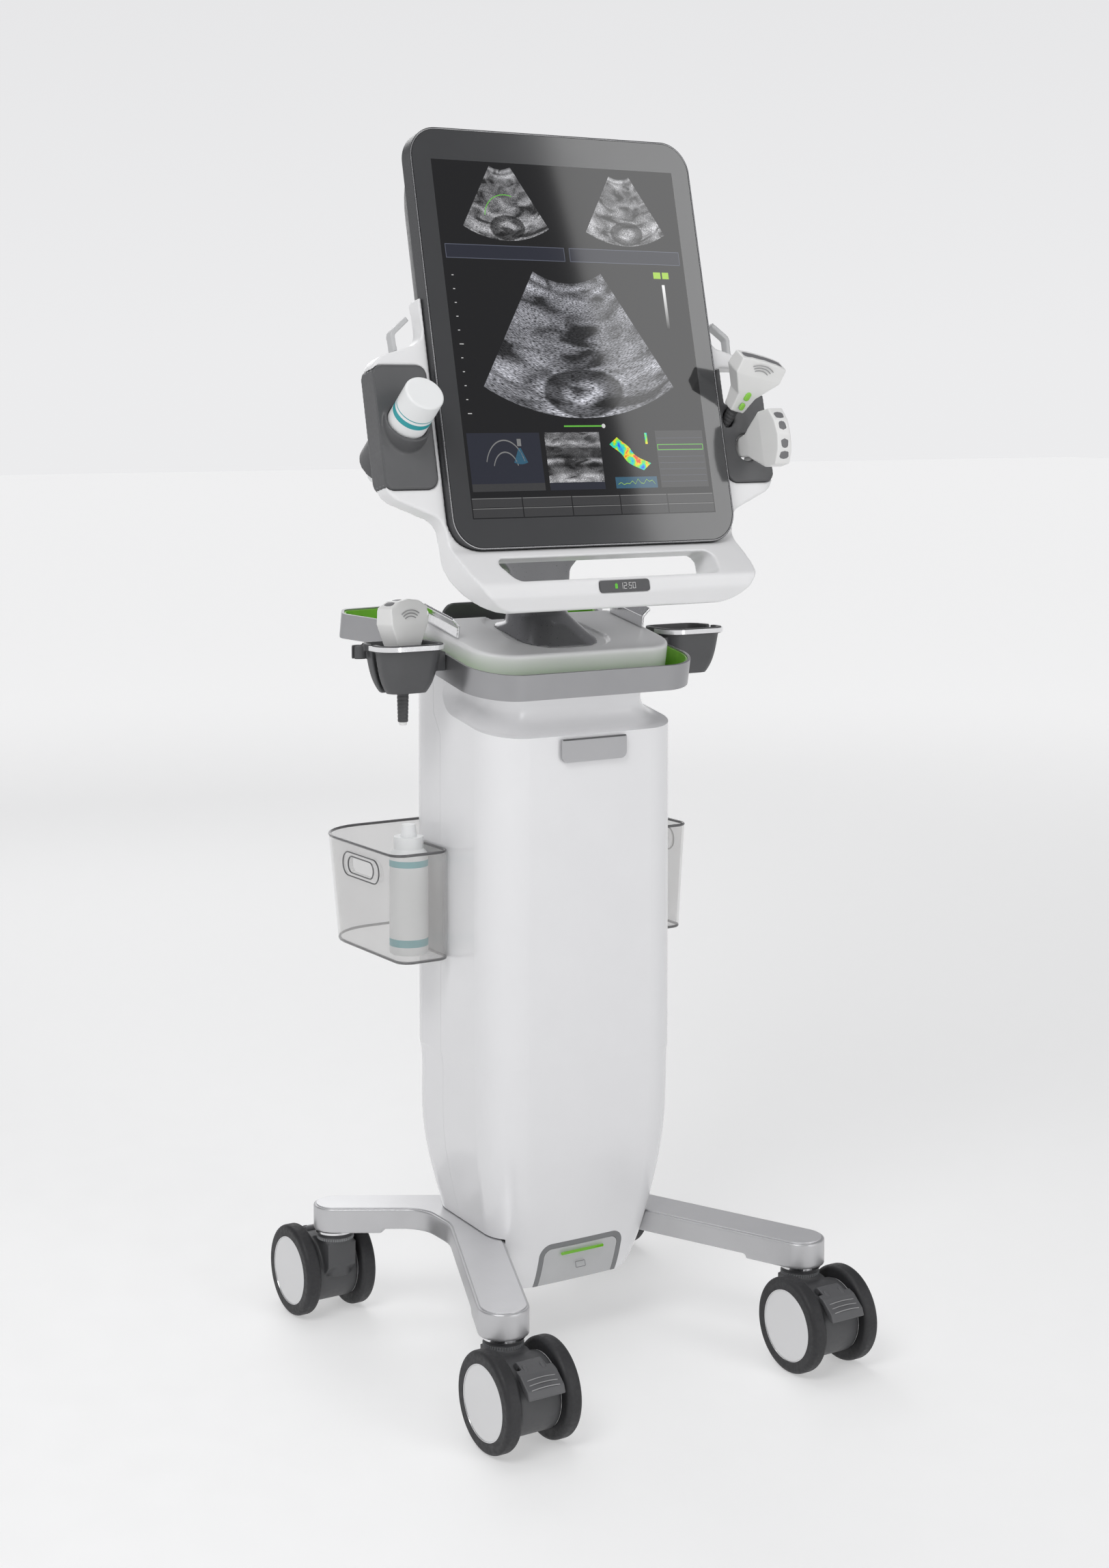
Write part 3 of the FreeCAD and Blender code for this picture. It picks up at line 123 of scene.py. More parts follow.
def banded(name, color, band_color, direction, start, bands):
    """A bottle's plastic with printed rings at (low, high) distances along a direction from start."""
    material, tree, shader = new_material(name)
    place = tree.nodes.new("ShaderNodeTexCoord")
    along = tree.nodes.new("ShaderNodeVectorMath")
    along.operation = "DOT_PRODUCT"
    along.inputs[1].default_value = direction
    link(tree, place, "Object", along, 0)
    ramp = tree.nodes.new("ShaderNodeValToRGB")
    ramp.color_ramp.interpolation = "CONSTANT"
    length = 0.15
    ramp.color_ramp.elements[0].color = color + (1,)
    ramp.color_ramp.elements.remove(ramp.color_ramp.elements[1])
    for low, high in bands:
        ramp.color_ramp.elements.new(low / length).color = band_color + (1,)
        ramp.color_ramp.elements.new(high / length).color = color + (1,)
    scaled = tree.nodes.new("ShaderNodeMapRange")
    scaled.inputs["From Min"].default_value = start
    scaled.inputs["From Max"].default_value = start + length
    link(tree, along, "Value", scaled, "Value")
    link(tree, scaled, "Result", ramp, "Fac")
    link(tree, ramp, "Color", shader, "Base Color")
    fine = noise(tree, coordinates(tree), 0.0008)
    relief = tree.nodes.new("ShaderNodeBump")
    relief.inputs["Strength"].default_value = 0.05
    relief.inputs["Distance"].default_value = 0.0003
    link(tree, fine, "Fac", relief, "Height")
    link(tree, relief, "Normal", shader, "Normal")
    link(tree, spread(tree, noise(tree, coordinates(tree), 0.01), 0.3, 0.42), "Result", shader, "Roughness")
    shader.inputs["Subsurface Weight"].default_value = 0.15
    shader.inputs["Subsurface Radius"].default_value = (0.004, 0.004, 0.004)
    return material


def glowing(name, color, strength):
    """A lit part of a display, with the faint grid of its pixels."""
    material, tree, shader = new_material(name)
    place = coordinates(tree)
    ramp = tree.nodes.new("ShaderNodeValToRGB")
    ramp.color_ramp.elements[0].color = shade(color, 0.85)
    ramp.color_ramp.elements[1].color = shade(color, 1.1)
    link(tree, noise(tree, place, 0.0012), "Fac", ramp, "Fac")
    link(tree, ramp, "Color", shader, "Emission Color")
    shader.inputs["Emission Strength"].default_value = strength
    shader.inputs["Base Color"].default_value = (0.004, 0.004, 0.004, 1)
    shader.inputs["Roughness"].default_value = 0.06
    return material


def clear_plastic(name, color, alpha, rough):
    """Tinted clear plastic with faint moulding marks."""
    material = surface(name, color, rough, grain=0.002, bump=0.02, mottle=0.04, rough_range=0.04, coat=0.4)
    material.node_tree.nodes["Principled BSDF"].inputs["Alpha"].default_value = alpha
    return material


WHITE = (0.80, 0.80, 0.81)
white_gloss = surface("white gloss", WHITE, 0.24, grain=0.004, bump=0.003, mottle=0.008, rough_range=0.012,
                      coat=0.35)
white_satin = surface("white satin", (0.78, 0.78, 0.785), 0.36, grain=0.003, bump=0.004, mottle=0.01,
                      rough_range=0.015, coat=0.15)
cap_white = surface("cap white", (0.74, 0.74, 0.745), 0.3, grain=0.003, bump=0.004, mottle=0.01,
                    rough_range=0.015, coat=0.2)
cast = surface("cast alloy", (0.56, 0.56, 0.57), 0.38, metal=0.7, grain=0.002, bump=0.02, mottle=0.03,
               rough_range=0.02)
brushed = surface("brushed alloy", (0.80, 0.80, 0.81), 0.32, metal=0.8, grain=0.0008, bump=0.04,
                  stretch=(1, 0.06, 1), mottle=0.02, rough_range=0.03)
band_metal = surface("deck band alloy", (0.36, 0.36, 0.37), 0.34, metal=0.85, grain=0.0008, bump=0.03,
                     stretch=(0.06, 0.06, 1), mottle=0.02, rough_range=0.02)
badge_metal = surface("badge metal", (0.42, 0.42, 0.43), 0.36, metal=0.6, grain=0.0008, bump=0.02,
                      mottle=0.02, rough_range=0.02)
polished = surface("polished edge", (0.78, 0.78, 0.79), 0.16, metal=1.0, grain=0.001, bump=0.02, mottle=0.03)
steel = surface("turned steel", (0.55, 0.55, 0.56), 0.27, metal=1.0, grain=0.0003, bump=0.06, mottle=0.04)
arm_paint = surface("dark silver paint", (0.27, 0.27, 0.28), 0.33, metal=0.7, grain=0.0003, bump=0.05,
                    mottle=0.04, coat=0.25)
dark = surface("dark plastic", (0.075, 0.076, 0.079), 0.48, grain=0.0008, bump=0.06, mottle=0.05)
pod_grey = surface("pod plastic", (0.085, 0.086, 0.089), 0.42, grain=0.0005, bump=0.10, mottle=0.05)
mid_grey = surface("grey plastic", (0.20, 0.205, 0.21), 0.45, grain=0.0005, bump=0.12, mottle=0.05)
pedal_grey = surface("pedal plastic", (0.105, 0.106, 0.11), 0.42, grain=0.0005, bump=0.12, mottle=0.06)
light_grey = surface("light grey plastic", (0.50, 0.505, 0.51), 0.38, grain=0.0005, bump=0.08, mottle=0.04)
lime = surface("lime plastic", (0.26, 0.60, 0.07), 0.34, grain=0.0007, bump=0.05, mottle=0.05, coat=0.15)
rubber = surface("tyre rubber", (0.022, 0.022, 0.024), 0.55, grain=0.0006, bump=0.15, mottle=0.25,
                 rough_range=0.1)
bezel = surface("bezel metal", (0.055, 0.056, 0.059), 0.32, metal=0.4, grain=0.0003, bump=0.05, mottle=0.04)
probe_white = surface("probe plastic", (0.76, 0.76, 0.75), 0.34, grain=0.0005, bump=0.05, mottle=0.02,
                      coat=0.1)
lens_grey = surface("probe lens", (0.16, 0.16, 0.165), 0.4, grain=0.0008, bump=0.03, mottle=0.06)
relief_grey = surface("strain relief", (0.05, 0.05, 0.052), 0.5, grain=0.0006, bump=0.1, mottle=0.1)
groove_grey = surface("groove shadow", (0.33, 0.33, 0.335), 0.5, grain=0.0006, bump=0.05, mottle=0.05)
glass = surface("screen glass", (0.046, 0.047, 0.049), 0.09, grain=0.02, bump=0.0, mottle=0.03,
                rough_range=0.02, coat=0.6)
panel_black = surface("inner panel", (0.02, 0.02, 0.022), 0.5, grain=0.001, bump=0.05)
smoke = clear_plastic("smoked clear plastic", (0.62, 0.61, 0.60), 0.24, 0.10)
smoke_edge = clear_plastic("smoked clear edge", (0.09, 0.09, 0.095), 0.9, 0.16)
TEAL = (0.02, 0.33, 0.36)
stood_bottle = banded("bottle in basket", (0.80, 0.81, 0.81), TEAL, (0, 0, 1), 0.429,
                      [(0.009, 0.017), (0.095, 0.102)])
bottle_way = HEAD.to_3x3() @ Vector((0, 0.897, -0.441)).normalized()
bottle_start = bottle_way.dot(HEAD @ Vector((-0.215, -0.040, -0.068)))
pod_bottle_finish = banded("bottle in pod", (0.80, 0.81, 0.81), TEAL, tuple(bottle_way), bottle_start,
                           [(0.023, 0.0245), (0.028, 0.0345)])

FINISHES = {
    "base_frame": cast, "leg_inlays": brushed, "column_front_shell": white_gloss,
    "column_back_shell": white_gloss, "door_frame": mid_grey, "battery_door": light_grey,
    "badge_plate": badge_metal, "bottom_cover": dark, "inner_mast": cast, "battery_pack": dark,
    "column_electronics": panel_black, "connector_panel": dark, "mains_inlet": panel_black,
    "earth_pin": steel, "deck_band": band_metal, "deck_liner": lime, "deck_block": white_satin,
    "deck_clips": polished, "cable_rest": dark, "arm_base": arm_paint, "swivel_yoke": arm_paint,
    "tilt_pin": steel, "probe_holder_left": dark, "probe_holder_right": dark, "holder_trims": polished,
    "deck_probe": probe_white, "linear_probe": probe_white, "convex_probe": probe_white,
    "basket_bottle": stood_bottle, "pod_bottle": pod_bottle_finish, "basket": smoke,
    "basket_plates": white_gloss, "display_glass": glass, "display_rim": bezel,
    "display_panel": panel_black, "head_back_cover": dark, "tilt_hub": arm_paint, "probe_ports": dark,
    "carrier_frame": white_satin, "handle_display": dark, "cable_hooks": light_grey,
    "bottle_pod": pod_grey, "probe_pod": pod_grey,
}


def finish_for(node):
    if node.startswith("caster_wheel"):
        return rubber
    if node.startswith("caster_housing"):
        return dark
    if node.startswith("brake_pedal"):
        return pedal_grey
    return FINISHES[node]


def assign_finishes():
    for name, thing in nodes.items():
        thing.data.materials.clear()
        thing.data.materials.append(finish_for(name))
        thing.data.shade_smooth()
        thing.data.set_sharp_from_angle(angle=math.radians(33))


def paint(node, material, chosen):
    """Give the faces that a test picks out a second material."""
    mesh = nodes[node].data
    mesh.materials.append(material)
    number = len(mesh.materials) - 1
    for face in mesh.polygons:
        if chosen(face.center, face.normal):
            face.material_index = number


def second_finishes():
    """Faces that differ from the rest of their node."""
    paint("base_frame", polished, lambda at, normal: normal.z > 0.9 and at.z > 0.1285)
    paint("deck_liner", white_satin, lambda at, normal: normal.z < -0.5)
    for node, side, end in CORNERS:
        for hand in ("left", "right"):
            axle = Vector((0, 0.213 * end, 0.050))

            def on_hub(at, normal, axle=axle):
                return math.hypot(at.y - axle.y, at.z - axle.z) < 0.0372

            paint("caster_wheel_{}_{}".format(node, hand), cap_white, on_hub)


# ---------------------------------------------------------------- softened edges

SOFTENED = {
    "carrier_frame": (1.5, 6), "deck_block": (1.6, 4), "arm_base": (1.3, 10), "swivel_yoke": (1.4, 7),
    "tilt_hub": (1.4, 4), "bottle_pod": (1.2, 4), "probe_pod": (1.2, 4), "probe_holder_left": (1.0, 2),
    "probe_holder_right": (1.0, 2), "cable_hooks": (0.9, 3), "deck_probe": (0.9, 9),
    "linear_probe": (0.9, 9), "convex_probe": (0.9, 9), "cable_rest": (1.2, 2), "deck_clips": (0.8, 2),
    "head_back_cover": (1.5, 3), "base_frame": (1.6, 2),
}


def soften():
    """Round the sharp moulded edges of the chunky parts with a fine remesh and a little smoothing."""
    for node, (voxel, rounds) in SOFTENED.items():
        round_off(nodes[node], voxel, rounds)
    for node, _, _ in CORNERS:
        round_off(nodes["caster_housing_" + node], 1.2, 3)
        round_off(nodes["brake_pedal_" + node], 0.8, 3)


def round_off(thing, voxel, rounds):
    remesh = thing.modifiers.new("Even faces", "REMESH")
    remesh.mode = "VOXEL"
    remesh.voxel_size = voxel * MM
    remesh.use_smooth_shade = True
    smooth = thing.modifiers.new("Rounded edges", "SMOOTH")
    smooth.factor = 0.5
    smooth.iterations = rounds


# ---------------------------------------------------------------- pieces

def finished(name, mesh, material, body, smooth=True):
    """Put a mesh in the scene as a piece that rides on a body."""
    mesh.materials.append(material)
    if smooth:
        mesh.shade_smooth()
        mesh.set_sharp_from_angle(angle=math.radians(40))
    thing = bpy.data.objects.new(name, mesh)
    bpy.context.scene.collection.objects.link(thing)
    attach(thing, body)
    return thing


def mesh_from(name, points, faces, place=Matrix()):
    mesh = bpy.data.meshes.new(name)
    mesh.from_pydata([tuple(place @ Vector(point)) for point in points], [], faces)
    mesh.update()
    return mesh


def stadium(length, width, count=28):
    """Outline of a round-ended button about its centre."""
    straight = max(0, length - width) / 2
    points = []
    for step in range(count):
        angle = 2 * math.pi * step / count
        x = math.cos(angle) * width / 2
        points.append((x + math.copysign(straight, x), math.sin(angle) * width / 2))
    return points


def domed(name, outline, height, place, material, body):
    """A button: an outline raised by height, with a rounded edge and a crowned top."""
    points = []
    levels = ((1.0, -0.4), (1.0, 0.35), (0.96, 0.62), (0.86, 0.83), (0.66, 0.95), (0.35, 1.0))
    for scale, rise in levels:
        points += [(x * scale, y * scale, rise * height) for x, y in outline]
    count = len(outline)
    faces = []
    for level in range(len(levels) - 1):
        for step in range(count):
            a = level * count + step
            b = level * count + (step + 1) % count
            faces.append((a, b, b + count, a + count))
    top = len(points)
    points.append((0, 0, height * 1.01))
    last = (len(levels) - 1) * count
    faces += [(last + step, last + (step + 1) % count, top) for step in range(count)]
    faces.append(tuple(reversed(range(count))))
    return finished(name, mesh_from(name, points, faces, place), material, body)


def tube(name, points, radius, material, body, closed=False, segments=10):
    """A round bar that follows points, as a mesh."""
    points = [Vector(point) for point in points]
    count = len(points)
    verts, faces = [], []
    side = None
    for index, point in enumerate(points):
        before = points[index - 1] if closed or index else point
        after = points[(index + 1) % count] if closed or index < count - 1 else point
        way = (after - before).normalized()
        if side is None:
            side = way.orthogonal().normalized()
        side = (side - way * side.dot(way)).normalized()
        other = way.cross(side)
        for step in range(segments):
            angle = 2 * math.pi * step / segments
            verts.append(point + (side * math.cos(angle) + other * math.sin(angle)) * radius)
    rings = count if closed else count - 1
    for ring in range(rings):
        for step in range(segments):
            a = ring * segments + step
            b = ring * segments + (step + 1) % segments
            c = ((ring + 1) % count) * segments + step
            d = ((ring + 1) % count) * segments + (step + 1) % segments
            faces.append((a, b, d, c))
    if not closed:
        faces.append(tuple(reversed(range(segments))))
        faces.append(tuple(range((count - 1) * segments, count * segments)))
    return finished(name, mesh_from(name, verts, faces), material, body)


def rounded_outline(corners, radius_steps=7):
    """Points of a closed polygon whose corners are (x, y, radius)."""
    points = []
    for index, (x, y, radius) in enumerate(corners):
        here = Vector((x, y))
        before = Vector(corners[index - 1][:2])
        after = Vector(corners[(index + 1) % len(corners)][:2])
        come = (before - here).normalized()
        leave = (after - here).normalized()
        if radius == 0:
            points.append(here)
            continue
        half = come.angle(leave) / 2
        run = radius / math.tan(half)
        centre = here + (come + leave).normalized() * (radius / math.sin(half))
        start = here + come * run - centre
        sweep = math.pi - 2 * half
        turn = math.copysign(sweep, come.cross(leave) * -1)
        for step in range(radius_steps + 1):
            angle = turn * step / radius_steps
            rotated = Matrix.Rotation(angle, 2) @ start
            points.append(centre + rotated)
    return points


def spun(name, profile, place, material, body, count=64):
    """A body of revolution about local Z from (radius, height) points."""
    points, faces = [], []
    for radius, height in profile:
        for step in range(count):
            angle = 2 * math.pi * step / count
            points.append((radius * math.cos(angle), radius * math.sin(angle), height))
    for level in range(len(profile) - 1):
        for step in range(count):
            a = level * count + step
            b = level * count + (step + 1) % count
            faces.append((a, b, b + count, a + count))
    faces.append(tuple(reversed(range(count))))
    faces.append(tuple(range((len(profile) - 1) * count, len(profile) * count)))
    return finished(name, mesh_from(name, points, faces, place), material, body)


def facing(at, normal, along):
    """A frame at a point, with +Z along the normal and +X along a direction."""
    z = Vector(normal).normalized()
    x = Vector(along)
    x = (x - z * x.dot(z)).normalized()
    y = z.cross(x)
    spot = Matrix((x, y, z)).transposed().to_4x4()
    spot.translation = Vector(at)
    return spot


# ---------------------------------------------------------------- running gear

def wheel_details():
    """Crowned hub caps with a thin bright ring, and serrated collars on the caster necks."""
    for name, side, end in CORNERS:
        for hand, out in (("left", -1), ("right", 1)):
            node = "caster_wheel_{}_{}".format(name, hand)
            low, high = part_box(node)
            face_x = high.x if out > 0 else low.x
            spot = facing((face_x - out * 1.0 * MM, 0.213 * end, 0.050), (out, 0, 0), (0, 1, 0))
            body = "wheel_{}_{}".format(name, hand)
            cap = [(0.0365, -0.0005), (0.0365, 0.0001), (0.0358, 0.0004), (0.034, 0.0006), (0.020, 0.00085),
                   (0.001, 0.0009)]
            spun("hub_cap_{}_{}".format(name, hand), cap, spot, cap_white, body)
            ring = [(math.cos(math.radians(a)) * 0.0371, math.sin(math.radians(a)) * 0.0371, 0.0004)
                    for a in range(0, 360, 6)]
            tube("hub_ring_{}_{}".format(name, hand), [spot @ Vector(point) for point in ring], 0.0005,
                 polished, body, closed=True, segments=8)
        neck_teeth(name, side, end)


def neck_teeth(name, side, end):
    """The serrated swivel ring under a leg's end."""
    x, y = 0.186 * side, 0.182 * end
    teeth = []
    count = 48
    for step in range(count * 2):
        angle = math.pi * step / count
        radius = 0.0208 if step % 2 else 0.0197
        teeth.append((radius * math.cos(angle), radius * math.sin(angle)))
    points = [(a, b, rise) for rise in (0.0905, 0.0935) for a, b in teeth]
    total = len(teeth)
    faces = [(i, (i + 1) % total, (i + 1) % total + total, i + total) for i in range(total)]
    faces.append(tuple(reversed(range(total))))
    faces.append(tuple(range(total, 2 * total)))
    mesh = mesh_from("swivel_ring_" + name, points, faces, Matrix.Translation((x, y, 0)))
    finished("swivel_ring_" + name, mesh, mid_grey, "caster_" + name, smooth=False)
    spun("leg_end_ring_" + name, [(0.0188, 0.0972), (0.0222, 0.0985), (0.0222, 0.1008), (0.0188, 0.1012)],
         Matrix.Translation((x, y, 0)), polished, "caster_" + name)


def pedal_details():
    """Two lugs and three curved grooves on each brake pedal."""
    for name, side, end in CORNERS:
        x = 0.186 * side
        for number in (-1, 1):
            spot = facing((x + number * 0.010, (0.229 + 0.0105) * end, 0.0858), (0, end * 0.45, 1),
                          (0, end, 0))
            domed("pedal_lug_{}_{}".format(name, "left" if number < 0 else "right"), stadium(0.010, 0.005),
                  0.0018, spot, pedal_grey, "pedal_" + name)
        for number in range(3):
            low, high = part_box("brake_pedal_" + name)
            lip_y = (high.y if end > 0 else low.y)
            points = []
            for step in range(9):
                across = (step - 4) / 4 * 0.016
                sag = 0.0012 * (1 - (across / 0.016) ** 2)
                points.append((x + across, lip_y - end * (0.0035 + number * 0.0045) + end * sag * 0.3,
                               0.0735 + number * 0.0032 + sag))
            tube("pedal_groove_{}_{}".format(name, number), points, 0.0005, groove_grey, "pedal_" + name,
                 segments=6)


# ---------------------------------------------------------------- column and deck

def column_details():
    """The charge light and pictogram on the battery door, and the screws of the back."""
    door_low, door_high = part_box("battery_door")
    light = rounded_outline([(-0.0272, 0.0015, 0.0012), (0.0272, 0.0015, 0.0012), (0.0272, -0.0015, 0.0012),
                             (-0.0272, -0.0015, 0.0012)], 4)
    spot = facing((0, -0.0396, door_high.z - 0.0067), (0, -1, 0.16), (1, 0, 0))
    domed("charge_light", light, 0.0011, spot, lime_glow, "battery_door")
    icon = facing((0, -0.0353, 0.0900), (0, -1, 0.30), (1, 0, 0))
    frame_points = rounded_outline([(-0.006, 0.003, 0.0008), (0.006, 0.003, 0.0008), (0.006, -0.003, 0.0008),
                                    (-0.006, -0.003, 0.0008)], 3)
    tube("battery_sign", [icon @ Vector((p.x, p.y, 0.0003)) for p in frame_points], 0.00035, mid_grey,
         "battery_door", closed=True, segments=6)
    lip = facing((0, -0.0631, 0.6672), (0, -1, 0), (1, 0, 0))
    lip_outline = rounded_outline([(-0.040, 0.0009, 0.0008), (0.040, 0.0009, 0.0008),
                                   (0.040, -0.0009, 0.0008), (-0.040, -0.0009, 0.0008)], 3)
    domed("badge_lip", lip_outline, 0.0005, lip, dark, "cart")
    for side in (-1, 1):
        for z in (0.140, 0.330, 0.600):
            screw("back_screw", (0.048 * side, 0.1349, z), (0, 1, 0), "cart")
        for z in (0.166, 0.304):
            screw("panel_screw", (0.054 * side, 0.1300, z), (0, 1, 0), "cart")


screw_count = {}


def screw(name, at, normal, body):
    """A small countersunk screw with a hexagon socket."""
    screw_count[name] = screw_count.get(name, 0) + 1
    label = "{}_{}".format(name, screw_count[name])
    spot = facing(at, normal, (0.3, 0.2, 0.9))
    profile = [(0.0036, -0.0004), (0.0036, 0.0001), (0.0032, 0.0004), (0.0018, 0.0005), (0.0015, 0.0001),
               (0.0002, 0.0001)]
    return spun(label, profile, spot, steel, body, count=24)


TRAY_LOW = 0.426
TRAY_HIGH = 0.544
TRAY_DRAFT = 0.008


def tray_outline(inset, spread, height):
    """The tray's level outline, a U round the column's sides and back, inset from its faces."""
    near, back, front = 0.1215 + inset, 0.1365 + inset, 0.030 + inset
    far, rear = 0.191 + spread - inset, 0.230 + spread - inset
    right = [(near, back, 0.0415 + inset), (near, front, 0.017 - inset), (far, front, 0.016 - inset),
             (far, rear, 0.060 - inset)]
    left = [(-x, y, radius) for x, y, radius in reversed(right)]
    return [(spot.x, spot.y, height) for spot in rounded_outline(right + left)]


def slot_outline(side, half_length, half_height):
    """A long oval on the raised rim of a hand slot."""
    middle, height, face = 0.1055, 0.520, 0.1922
    bend = half_height - 0.0001
    back, front = middle - half_length, middle + half_length
    low, high = height - half_height, height + half_height
    corners = [(back, low, bend), (front, low, bend), (front, high, bend), (back, high, bend)]
    return [(side * face, spot.x, spot.y) for spot in rounded_outline(corners)]


def basket_details():
    """Dark beads along the tray's rim and foot and round each hand slot."""
    tube("tray_rim", tray_outline(0.00125, 0, TRAY_HIGH - 0.0012), 0.0016, smoke_edge, "cart",
         closed=True)
    tube("tray_foot", tray_outline(0.0013, -TRAY_DRAFT, TRAY_LOW + 0.0014), 0.0015, smoke_edge, "cart",
         closed=True)
    for name, side in (("left", -1), ("right", 1)):
        tube("slot_rim_" + name, slot_outline(side, 0.0414, 0.0129), 0.0008, smoke_edge, "cart",
             closed=True)
        tube("slot_edge_" + name, slot_outline(side, 0.0290, 0.0090), 0.0008, smoke_edge, "cart",
             closed=True)


# ---------------------------------------------------------------- probes

def probe_details(name, place, head_half, head_depth, rise, handle, button_side, buttons, lens_half=0.0078):
    """Lens, finger grooves and buttons of a probe, in its own standing frame."""
    crown = handle + head_depth
    profile = [(-head_half * 0.97, crown - rise * 1.1), (-head_half * 0.78, crown - rise * 0.55),
               (-head_half * 0.5, crown - rise * 0.2), (0, crown), (head_half * 0.5, crown - rise * 0.2),
               (head_half * 0.78, crown - rise * 0.55), (head_half * 0.97, crown - rise * 1.1)]
    points, faces = [], []
    thick = 0.0016
    for x, z in profile:
        for y, drop in ((-lens_half, 0.0012), (-lens_half * 0.8, 0), (lens_half * 0.8, 0),
                        (lens_half, 0.0012)):
            points.append((x * MM, y, z * MM + 0.0003 - drop))
        points.append((x * MM, lens_half, z * MM - thick - 0.001))
        points.append((x * MM, -lens_half, z * MM - thick - 0.001))
    ring = 6
    for index in range(len(profile) - 1):
        for step in range(ring):
            a = index * ring + step
            b = index * ring + (step + 1) % ring
            faces.append((a, a + ring, b + ring, b))
    faces.append(tuple(range(ring)))
    faces.append(tuple(reversed(range((len(profile) - 1) * ring, len(profile) * ring))))
    lens = finished(name + "_lens", mesh_from(name + "_lens", points, faces, place), lens_grey, name)
    bevel = lens.modifiers.new("Rounded", "SUBSURF")
    bevel.levels = bevel.render_levels = 1
    for number, (rise_at, length, width) in enumerate(buttons):
        spot = place @ facing((0, button_side * (0.0106 + 0.0004 * number), rise_at * MM),
                              (0, button_side, 0), (0, 0, 1))
        domed("{}_button_{}".format(name, number), stadium(length * MM, width * MM), 0.0016, spot, lime,
              name)
    for number in range(3):
        arc = []
        for step in range(9):
            angle = math.radians(-40 + 10 * step)
            radius = (head_half * 0.34 + number * 3.2) * MM
            low = (handle + head_depth * 0.30) * MM
            arc.append(place @ Vector((math.sin(angle) * radius * 1.3, button_side * 0.01115,
                                       low + math.cos(angle) * radius)))
        tube("{}_grip_{}".format(name, number), arc, 0.00055, groove_grey, name, segments=6)


def strain_relief(name, place, length):
    """A dark ribbed sleeve on the strain relief below a probe's handle."""
    ribs = int(length / 4)
    pitch = 0.004
    profile = [(0.0063, 0.0)]
    for number in range(ribs):
        top = -number * pitch
        narrow = 0.0004 * number / ribs * 2.5
        profile += [(0.0064 - narrow, top - 0.0006), (0.0064 - narrow, top - 0.0028),
                    (0.0060 - narrow, top - 0.0034)]
    spun(name + "_relief", profile, place, relief_grey, name, count=32)


def probes():
    stand = Matrix.Translation((-0.181, 0.030, 0.722)) @ Matrix.Rotation(math.radians(20), 4, "Z")
    probe_details("deck_probe", stand, 29, 40, 9, 55, -1, [(34, 9, 6)])
    strain_relief("deck_probe", stand, 39)
    way = Vector((0.2, -0.69, 0.69)).normalized()
    turn = Vector((0, 0, 1)).rotation_difference(way).to_matrix().to_4x4()
    linear = HEAD @ Matrix.Translation((0.196, 0, -0.076)) @ turn
    probe_details("linear_probe", linear, 31, 30, 2, 36, -1, [(22, 11, 7), (9, 9, 6)])
    strain_relief("linear_probe", linear, 30)
    turn = Vector((0, 0, 1)).rotation_difference(Vector((0, -1, 0))).to_matrix().to_4x4()
    convex = HEAD @ Matrix.Translation((0.214, 0.022, -0.118)) @ turn @ Matrix.Rotation(math.pi / 2, 4, "Z")
    probe_details("convex_probe", convex, 31, 42, 10, 40, -1, [(26, 11, 7)])
    strain_relief("convex_probe", convex, 26)


# ---------------------------------------------------------------- display

ACTIVE_WIDTH = 306
ACTIVE_HEIGHT = 383
LAYER = 0.00004


